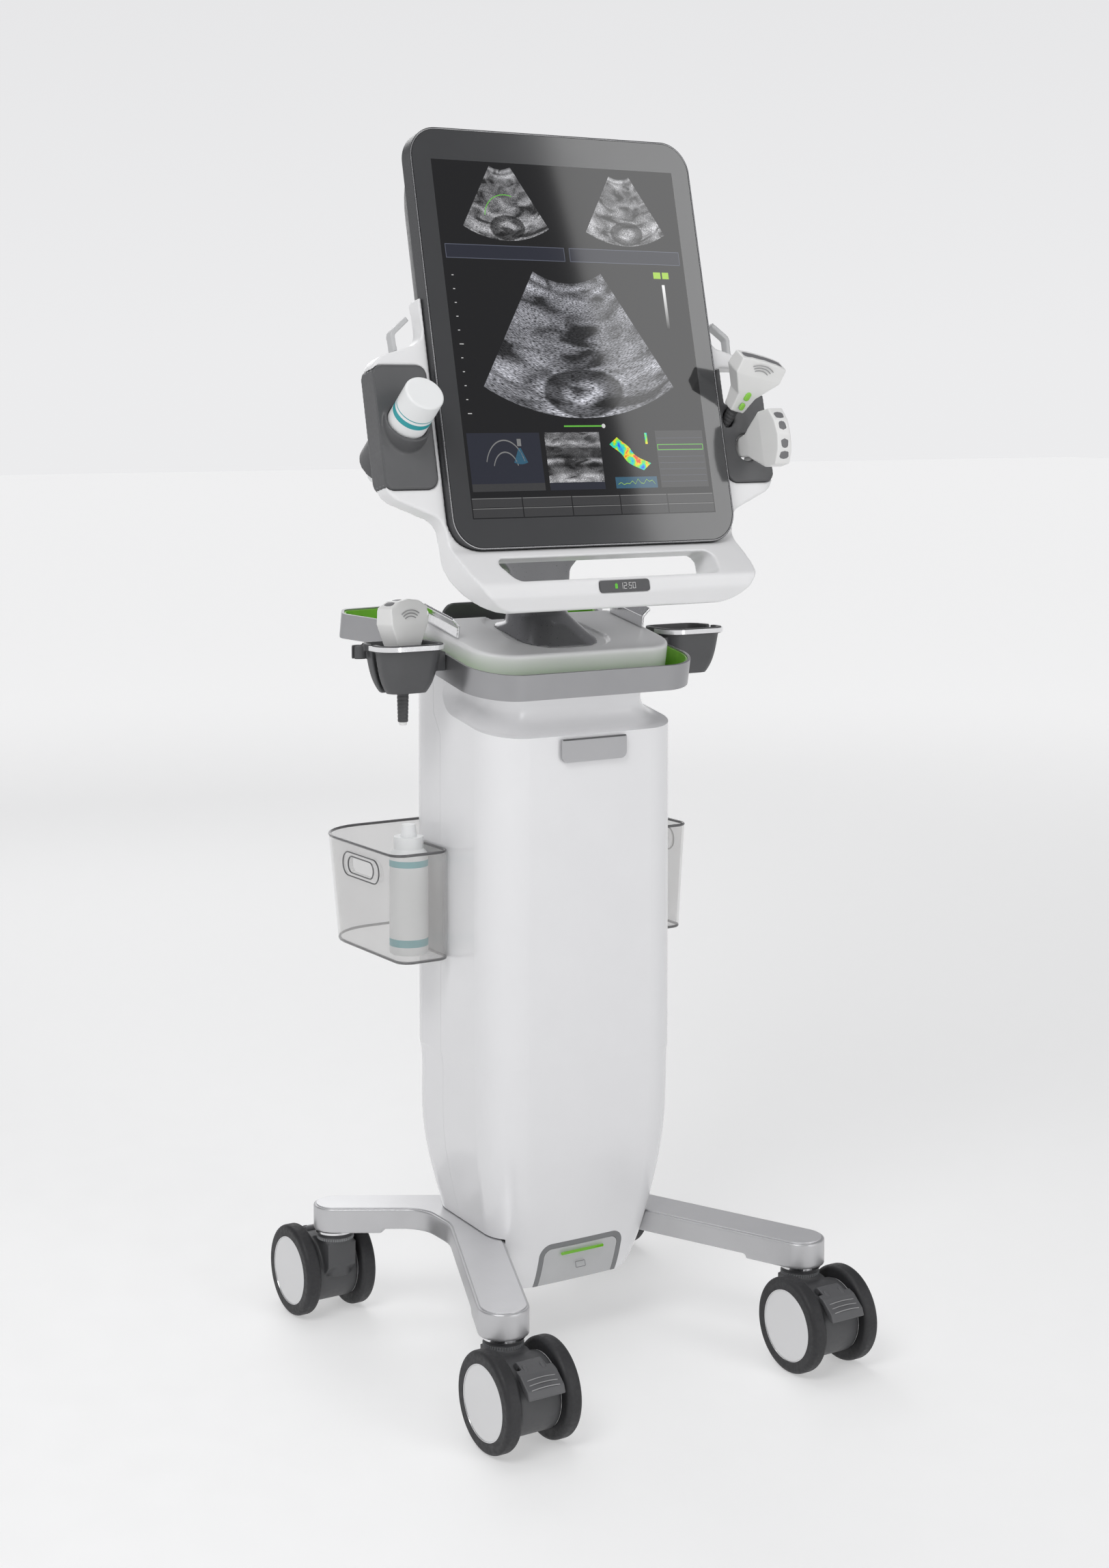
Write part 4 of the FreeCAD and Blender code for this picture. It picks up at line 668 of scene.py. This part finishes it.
class Picture:
    """Flat coloured patches on the front of the glass, drawn in fractions of the active area."""

    def __init__(self):
        self.points = []
        self.faces = []
        self.uvs = []
        self.numbers = []
        self.materials = []

    def place(self, across, down, layer):
        x = (across - 0.5) * ACTIVE_WIDTH * MM
        rise = (0.5 - down) * ACTIVE_HEIGHT * MM
        return HEAD @ Vector((x, -0.00006 - layer * LAYER, rise))

    def patch(self, corners, material, layer, uvs=None):
        first = len(self.points)
        self.points += [self.place(across, down, layer) for across, down in corners]
        self.faces.append(tuple(range(first, first + len(corners))))
        self.uvs.append(uvs or [(0, 0)] * len(corners))
        if material not in self.materials:
            self.materials.append(material)
        self.numbers.append(self.materials.index(material))

    def block(self, left, top, right, bottom, material, layer):
        self.patch([(left, bottom), (right, bottom), (right, top), (left, top)], material, layer,
                   [(0, 0), (1, 0), (1, 1), (0, 1)])

    def outline(self, left, top, right, bottom, width, material, layer):
        aspect = ACTIVE_WIDTH / ACTIVE_HEIGHT
        self.block(left, top, right, top + width * aspect, material, layer)
        self.block(left, bottom - width * aspect, right, bottom, material, layer)
        self.block(left, top, left + width, bottom, material, layer)
        self.block(right - width, top, right, bottom, material, layer)

    def sector(self, across, down, inner, outer, half_angle, material, layer, steps=36, rings=10):
        """A fan scan. across and down place its apex; radii are in millimetres."""
        for ring in range(rings):
            for step in range(steps):
                corners, uvs = [], []
                for ring_at, step_at in ((ring, step), (ring + 1, step), (ring + 1, step + 1),
                                         (ring, step + 1)):
                    radius = inner + (outer - inner) * ring_at / rings
                    angle = math.radians(half_angle) * (2 * step_at / steps - 1)
                    corners.append((across + math.sin(angle) * radius / ACTIVE_WIDTH,
                                    down + math.cos(angle) * radius / ACTIVE_HEIGHT))
                    uvs.append((step_at / steps, 1 - ring_at / rings))
                self.patch(corners, material, layer, uvs)

    def arc(self, across, down, radius, start, stop, width, material, layer, squeeze=1.0, steps=24):
        """A thin arc line; radius and width in millimetres, angles in degrees from straight up."""
        for step in range(steps):
            corners = []
            for at, grow in ((step, 0), (step + 1, 0), (step + 1, width), (step, width)):
                angle = math.radians(start + (stop - start) * at / steps)
                corners.append((across + math.sin(angle) * (radius + grow) / ACTIVE_WIDTH,
                                down - math.cos(angle) * (radius + grow) * squeeze / ACTIVE_HEIGHT))
            self.patch(corners, material, layer)

    def finish(self, name, body):
        mesh = bpy.data.meshes.new(name)
        mesh.from_pydata([tuple(point) for point in self.points], [], self.faces)
        layer = mesh.uv_layers.new(name="Scan")
        index = 0
        for uvs in self.uvs:
            for uv in uvs:
                layer.data[index].uv = uv
                index += 1
        for material in self.materials:
            mesh.materials.append(material)
        for face, number in zip(mesh.polygons, self.numbers):
            face.material_index = number
        mesh.update()
        thing = bpy.data.objects.new(name, mesh)
        bpy.context.scene.collection.objects.link(thing)
        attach(thing, body)
        return thing


def scan_finish(name, offset, tint=(1.0, 1.0, 1.04), organ=True, flat=False):
    """An ultrasound picture: speckle drawn out sideways, bright layers near the skin, and one organ."""
    material, tree, shader = new_material(name)
    uv = tree.nodes.new("ShaderNodeUVMap")
    uv.uv_map = "Scan"

    def mapped(location, scale, rotation=0.0):
        node = tree.nodes.new("ShaderNodeMapping")
        node.inputs["Location"].default_value = location
        node.inputs["Scale"].default_value = scale
        node.inputs["Rotation"].default_value = (0, 0, rotation)
        link(tree, uv, "UV", node, "Vector")
        return node

    def textured(vector, scale, detail, distortion=0.0):
        node = tree.nodes.new("ShaderNodeTexNoise")
        node.inputs["Scale"].default_value = scale
        node.inputs["Detail"].default_value = detail
        node.inputs["Distortion"].default_value = distortion
        link(tree, vector, "Vector", node, "Vector")
        return node

    def ramp(source, socket, stops):
        node = tree.nodes.new("ShaderNodeValToRGB")
        elements = node.color_ramp.elements
        for index, (position, value) in enumerate(stops):
            element = elements[index] if index < 2 else elements.new(position)
            element.position = position
            element.color = (value, value, value, 1)
        link(tree, source, socket, node, "Fac")
        return node

    def product(first, second):
        node = tree.nodes.new("ShaderNodeMix")
        node.data_type = "RGBA"
        node.blend_type = "MULTIPLY"
        node.inputs[0].default_value = 1
        tree.links.new(first, node.inputs[6])
        tree.links.new(second, node.inputs[7])
        return node.outputs[2]

    speckle = ramp(textured(mapped((offset, 0, 0), (45, 160, 1)), 1.0, 6), "Fac", [(0.34, 0.0), (0.74, 0.7)])
    cloud = ramp(textured(mapped((offset, 3, 0), (3.0, 7.5, 1)), 1.0, 5, 0.8), "Fac",
                 [(0.36, 0.06), (0.68, 1.0)])
    split = tree.nodes.new("ShaderNodeSeparateXYZ")
    link(tree, uv, "UV", split, "Vector")
    if flat:
        layers = [(0.0, 0.9), (0.22, 0.95), (0.30, 0.25), (0.42, 0.12), (0.50, 0.75), (0.56, 0.10),
                  (0.72, 0.14), (0.80, 0.8), (0.88, 0.3), (1.0, 0.5)]
    else:
        layers = [(0.0, 0.55), (0.06, 0.85), (0.16, 1.0), (0.30, 0.62), (0.62, 0.52), (0.78, 0.42),
                  (0.86, 0.75), (0.90, 0.95), (0.93, 0.45), (0.96, 1.0), (1.0, 0.35)]
    depth = ramp(split, "Y", layers)
    value = product(product(speckle.outputs["Color"], cloud.outputs["Color"]), depth.outputs["Color"])
    if organ:
        centre = mapped((-1.05, -1.02, 0), (2.6, 3.3, 1), 0.35)
        length = tree.nodes.new("ShaderNodeVectorMath")
        length.operation = "LENGTH"
        link(tree, centre, "Vector", length, 0)
        shape = ramp(length, "Value", [(0.0, 1.0), (0.22, 0.95), (0.34, 0.32), (0.56, 0.16), (0.62, 1.0),
                                       (0.68, 0.8), (1.0, 0.8)])
        value = product(value, shape.outputs["Color"])
    tint_node = tree.nodes.new("ShaderNodeMix")
    tint_node.data_type = "RGBA"
    tint_node.blend_type = "MULTIPLY"
    tint_node.inputs[0].default_value = 1
    tint_node.inputs[7].default_value = tint + (1,)
    tree.links.new(value, tint_node.inputs[6])
    tree.links.new(tint_node.outputs[2], shader.inputs["Emission Color"])
    shader.inputs["Emission Strength"].default_value = 2.6
    shader.inputs["Base Color"].default_value = (0.004, 0.004, 0.004, 1)
    shader.inputs["Roughness"].default_value = 0.06
    return material


def flow_finish():
    """Colour-flow picture: a rainbow of speeds."""
    material, tree, shader = new_material("colour flow")
    ramp = tree.nodes.new("ShaderNodeValToRGB")
    colors = ((0.0, (0.02, 0.1, 0.9)), (0.3, (0.0, 0.7, 0.6)), (0.5, (0.2, 0.8, 0.05)),
              (0.68, (0.95, 0.75, 0.0)), (0.85, (0.9, 0.1, 0.02)))
    for index, (position, color) in enumerate(colors):
        element = ramp.color_ramp.elements[index] if index < 2 else ramp.color_ramp.elements.new(position)
        element.position = position
        element.color = color + (1,)
    link(tree, spread(tree, noise(tree, coordinates(tree), 0.009, 2), 0, 1), "Result", ramp, "Fac")
    link(tree, ramp, "Color", shader, "Emission Color")
    shader.inputs["Emission Strength"].default_value = 0.9
    shader.inputs["Base Color"].default_value = (0.004, 0.004, 0.004, 1)
    shader.inputs["Roughness"].default_value = 0.06
    return material


def grey_scale_finish():
    """A bar that fades from white to black."""
    material, tree, shader = new_material("grey scale")
    uv = tree.nodes.new("ShaderNodeUVMap")
    uv.uv_map = "Scan"
    split = tree.nodes.new("ShaderNodeSeparateXYZ")
    link(tree, uv, "UV", split, "Vector")
    link(tree, split, "Y", shader, "Emission Color")
    shader.inputs["Emission Strength"].default_value = 0.9
    shader.inputs["Base Color"].default_value = (0.004, 0.004, 0.004, 1)
    shader.inputs["Roughness"].default_value = 0.06
    return material


lime_glow = glowing("charge light", (0.22, 0.62, 0.03), 0.55)
screen_black = glowing("screen black", (0.010, 0.010, 0.011), 1.0)
screen_box = glowing("screen box", (0.022, 0.024, 0.036), 1.0)
screen_line = glowing("screen line", (0.11, 0.12, 0.16), 1.0)
screen_key = glowing("screen key", (0.045, 0.045, 0.047), 1.0)
screen_white = glowing("screen white", (0.62, 0.62, 0.62), 1.0)
screen_dim = glowing("screen dim", (0.20, 0.20, 0.20), 1.0)
screen_green = glowing("screen green", (0.14, 0.52, 0.06), 1.0)
screen_lime = glowing("screen lime", (0.36, 0.62, 0.04), 1.0)
screen_blue = glowing("screen blue", (0.03, 0.10, 0.16), 1.0)


def screen():
    picture = Picture()
    picture.block(0, 0, 1, 1, screen_black, 0)
    small = scan_finish("small scan", 4.2)
    other = scan_finish("second small scan", 11.7)
    picture.sector(0.27, -0.045, 25, 103, 31, small, 1)
    picture.sector(0.765, -0.035, 25, 100, 31, other, 1)
    picture.arc(0.275, 0.158, 26, -85, 20, 0.9, screen_green, 2, squeeze=0.95)
    picture.block(0.015, 0.238, 0.495, 0.278, screen_box, 1)
    picture.outline(0.015, 0.238, 0.495, 0.278, 0.0022, screen_line, 2)
    picture.block(0.515, 0.238, 0.985, 0.278, screen_box, 1)
    picture.outline(0.515, 0.238, 0.985, 0.278, 0.0022, screen_line, 2)
    picture.sector(0.495, 0.127, 82, 229, 31.6, scan_finish("main scan", 0.0, (0.95, 0.96, 1.05)), 1, 64, 24)
    for tick in range(11):
        down = 0.325 + tick * 0.0385
        width = 0.016 if tick in (5, 10) else 0.008
        picture.block(0.028, down, 0.028 + width, down + 0.0022, screen_white, 1)
    picture.block(0.862, 0.300, 0.893, 0.319, screen_lime, 1)
    picture.block(0.900, 0.300, 0.928, 0.319, screen_lime, 1)
    picture.block(0.8935, 0.337, 0.9055, 0.468, grey_scale_finish(), 1)
    picture.block(0.405, 0.7455, 0.565, 0.7495, screen_green, 1)
    picture.arc(0.568, 0.7475, 0, 0, 360, 2.4, screen_white, 2)
    position_sign(picture)
    picture.block(0.320, 0.765, 0.545, 0.925, scan_finish("linear scan", 7.3, organ=False, flat=True), 1)
    picture.block(0.320, 0.905, 0.545, 0.926, screen_box, 2)
    flow_picture(picture)
    picture.block(0.780, 0.762, 0.985, 0.925, screen_key, 1)
    for row in range(8):
        down = 0.783 + row * 0.0178
        picture.block(0.784, down, 0.981, down + 0.0008, screen_line, 2)
    picture.outline(0.784, 0.8010, 0.981, 0.8180, 0.0025, screen_green, 3)
    for column in range(5):
        left = 0.004 + column * 0.1992
        for row in range(2):
            top = 0.944 + row * 0.0275
            picture.block(left, top, left + 0.195, top + 0.0255, screen_key, 1)
            picture.block(left, top, left + 0.195, top + 0.0018, screen_dim, 2)
    picture.finish("screen_picture", "head")


def position_sign(picture):
    """A plain diagram of where the probe goes, in place of a picture of a person."""
    picture.block(0.012, 0.765, 0.300, 0.925, screen_box, 1)
    picture.arc(0.155, 0.875, 24, -70, 70, 1.0, screen_dim, 2, squeeze=1.4)
    picture.arc(0.155, 0.875, 15, -70, 70, 1.0, screen_dim, 2, squeeze=1.4)
    picture.sector(0.215, 0.800, 3, 20, 25, screen_blue, 2, 10, 2)
    picture.block(0.207, 0.782, 0.223, 0.802, screen_dim, 3)
    picture.block(0.012, 0.905, 0.300, 0.926, screen_key, 4)


def flow_picture(picture):
    """A vessel in flow colours over a small velocity trace."""
    flow = flow_finish()
    steps = 16
    for step in range(steps):
        corners = []
        for at, side in ((step, -1), (step + 1, -1), (step + 1, 1), (step, 1)):
            run = at / steps
            across = 0.600 + 0.125 * run + 0.010 * math.sin(run * 7)
            down = 0.790 + 0.075 * run ** 0.8
            corners.append((across + side * 0.017, down - side * 0.010))
        picture.patch(corners, flow, 2)
    picture.block(0.735, 0.768, 0.745, 0.800, flow, 2)
    picture.block(0.590, 0.893, 0.765, 0.925, screen_blue, 1)
    trace = [0.35, 0.55, 0.3, 0.45, 0.4, 0.7, 0.35, 0.9, 0.45, 0.4, 0.85, 0.6, 0.75, 0.3]
    for index in range(len(trace) - 1):
        left = 0.600 + index * 0.012
        first = 0.922 - trace[index] * 0.026
        second = 0.922 - trace[index + 1] * 0.026
        picture.patch([(left, first + 0.0014), (left + 0.012, second + 0.0014), (left + 0.012, second),
                       (left, first)], screen_lime, 2)


def head_details():
    """The bright line round the glass, the handle's little display and the screws of the back."""
    half, low, high, corner = 0.1762, -0.2222, 0.2252, 0.0332
    outline = rounded_outline([(-half, low, corner), (half, low, corner), (half, high, corner),
                               (-half, high, corner)], 12)
    points = [HEAD @ Vector((p.x, 0.0005, p.y)) for p in outline]
    tube("glass_edge", points, 0.0006, steel, "head", closed=True, segments=8)
    handle_signs()
    for x, rise in ((-0.110, -0.150), (0.110, -0.150), (-0.100, 0.030), (0.100, 0.030)):
        spot = HEAD @ Vector((x, 0.0902, rise))
        normal = HEAD.to_3x3() @ Vector((0, 1, 0))
        if abs(x) < 0.108:
            screw("cover_screw", spot, normal, "head")


SEGMENTS = {"a": (0, 2, 1, 2), "b": (1, 1, 1, 2), "c": (1, 0, 1, 1), "d": (0, 0, 1, 0), "e": (0, 0, 0, 1),
            "f": (0, 1, 0, 2), "g": (0, 1, 1, 1)}
DIGITS = {"1": "bc", "2": "abged", "5": "afgcd", "0": "abcdef"}


def handle_signs():
    """A battery sign and a plain clock on the small display in the handle."""
    base = HEAD @ Matrix.Translation((0, -0.03375, -0.2717))

    def bar(name, left, low, right, high, material):
        points = [(left, 0, low), (right, 0, low), (right, 0, high), (left, 0, high)]
        mesh = mesh_from(name, points, [(0, 1, 2, 3)], base)
        finished(name, mesh, material, "head", smooth=False)

    bar("charge_sign", -0.0125, -0.0026, -0.0092, 0.0022, screen_green)
    bar("charge_sign_cap", -0.0116, 0.0024, -0.0101, 0.0031, screen_green)
    start = -0.0060
    for number, digit in enumerate("1250"):
        left = start + number * 0.0048 + (0.0015 if number > 1 else 0)
        for segment in DIGITS[digit]:
            x0, z0, x1, z1 = SEGMENTS[segment]
            a, b = left + x0 * 0.0030, left + x1 * 0.0030
            c, d = -0.0030 + z0 * 0.0030, -0.0030 + z1 * 0.0030
            bar("clock_{}_{}".format(number, segment), a - 0.0002, c - 0.0002, b + 0.0003, d + 0.0003,
                screen_white)
    bar("clock_dot_low", 0.0035, -0.0017, 0.0040, -0.0010, screen_white)
    bar("clock_dot_high", 0.0035, 0.0010, 0.0040, 0.0017, screen_white)


# ---------------------------------------------------------------- studio

def camera():
    data = bpy.data.cameras.new("Camera")
    thing = bpy.data.objects.new("Camera", data)
    bpy.context.scene.collection.objects.link(thing)
    thing.location = EYE
    thing.rotation_euler = (math.pi / 2 - 0.05479, 0, -0.56113)
    data.sensor_width = 36
    data.lens = 55.527
    data.shift_x = 0.00516
    data.shift_y = -0.16
    data.clip_end = 100
    bpy.context.scene.camera = thing


def area_light(name, place, target, size, power):
    data = bpy.data.lights.new(name, "AREA")
    data.shape = "RECTANGLE"
    data.size, data.size_y = size
    data.energy = power
    thing = bpy.data.objects.new(name, data)
    bpy.context.scene.collection.objects.link(thing)
    thing.location = place
    thing.rotation_euler = (Vector(target) - Vector(place)).to_track_quat("-Z", "Y").to_euler()
    thing.visible_camera = False
    return thing


def screen_glare():
    """A bright card that the screen reflects towards the front left, with a slanting edge."""
    normal = HEAD.to_3x3() @ Vector((0, -1, 0))

    def reflected(x, rise, reach=2.6):
        spot = HEAD @ Vector((x, 0, rise))
        way = (spot - EYE).normalized()
        return spot + (way - 2 * way.dot(normal) * normal) * reach

    corners = [reflected(-0.020, 0.30), reflected(0.075, -0.30), reflected(0.50, -0.30),
               reflected(0.50, 0.30)]
    mesh = mesh_from("glare_card", corners, [(0, 1, 2, 3)])
    material, tree, shader = new_material("glare card")
    shader.inputs["Base Color"].default_value = (0, 0, 0, 1)
    shader.inputs["Emission Color"].default_value = (1, 1, 1, 1)
    shader.inputs["Emission Strength"].default_value = 3.2
    mesh.materials.append(material)
    card = bpy.data.objects.new("glare_card", mesh)
    bpy.context.scene.collection.objects.link(card)
    card.visible_camera = False
    card.visible_diffuse = False
    card.visible_shadow = False


def fade_to_backdrop(tree, shader):
    """Brighten the floor with distance from the cart, so that it meets the backdrop without a seam."""
    place = tree.nodes.new("ShaderNodeTexCoord")
    reach = tree.nodes.new("ShaderNodeVectorMath")
    reach.operation = "LENGTH"
    link(tree, place, "Object", reach, 0)
    glow = tree.nodes.new("ShaderNodeMapRange")
    glow.interpolation_type = "SMOOTHSTEP"
    glow.inputs["From Min"].default_value = 1.0
    glow.inputs["From Max"].default_value = 6.0
    glow.inputs["To Min"].default_value = 0.40
    glow.inputs["To Max"].default_value = 0.66
    link(tree, reach, "Value", glow, "Value")
    link(tree, glow, "Result", shader, "Emission Strength")


def studio():
    mesh = mesh_from("floor", [(-30, -30, 0), (30, -30, 0), (30, 30, 0), (-30, 30, 0)], [(0, 1, 2, 3)],
                     Matrix.Translation((0, 0, -0.0005)))
    pale = surface("pale floor", (0.62, 0.62, 0.62), 0.6, grain=0.01, bump=0.01, mottle=0.01)
    shader = pale.node_tree.nodes["Principled BSDF"]
    shader.inputs["Emission Color"].default_value = (1, 1, 1, 1)
    fade_to_backdrop(pale.node_tree, shader)
    mesh.materials.append(pale)
    floor = bpy.data.objects.new("floor", mesh)
    bpy.context.scene.collection.objects.link(floor)
    world = bpy.data.worlds.new("Studio")
    bpy.context.scene.world = world
    world.use_nodes = True
    tree = world.node_tree
    back = tree.nodes["Background"]
    place = tree.nodes.new("ShaderNodeTexCoord")
    split = tree.nodes.new("ShaderNodeSeparateXYZ")
    ramp = tree.nodes.new("ShaderNodeValToRGB")
    elements = ramp.color_ramp.elements
    elements[0].position = 0.02
    elements[0].color = (0.84, 0.84, 0.85, 1)
    elements[1].position = 0.95
    elements[1].color = (0.26, 0.26, 0.27, 1)
    elements.new(0.16).color = (0.80, 0.80, 0.81, 1)
    elements.new(0.34).color = (0.22, 0.22, 0.23, 1)
    link(tree, place, "Generated", split, "Vector")
    link(tree, split, "Z", ramp, "Fac")
    link(tree, ramp, "Color", back, "Color")
    area_light("key", (-2.0, -1.4, 2.9), (0, 0, 0.7), (1.5, 1.5), 42)
    area_light("front", (0.9, -3.2, 1.5), (0, 0, 0.6), (0.8, 2.2), 16)
    area_light("top", (0.2, 0.4, 3.4), (0, 0, 0.6), (1.8, 1.8), 18)
    area_light("back", (0.6, 2.8, 2.0), (0, 0, 0.8), (1.6, 1.6), 14)
    bpy.context.scene.view_settings.view_transform = "Standard"
    screen_glare()


camera()
assign_finishes()
second_finishes()
soften()
wheel_details()
pedal_details()
column_details()
basket_details()
probes()
screen()
head_details()
studio()
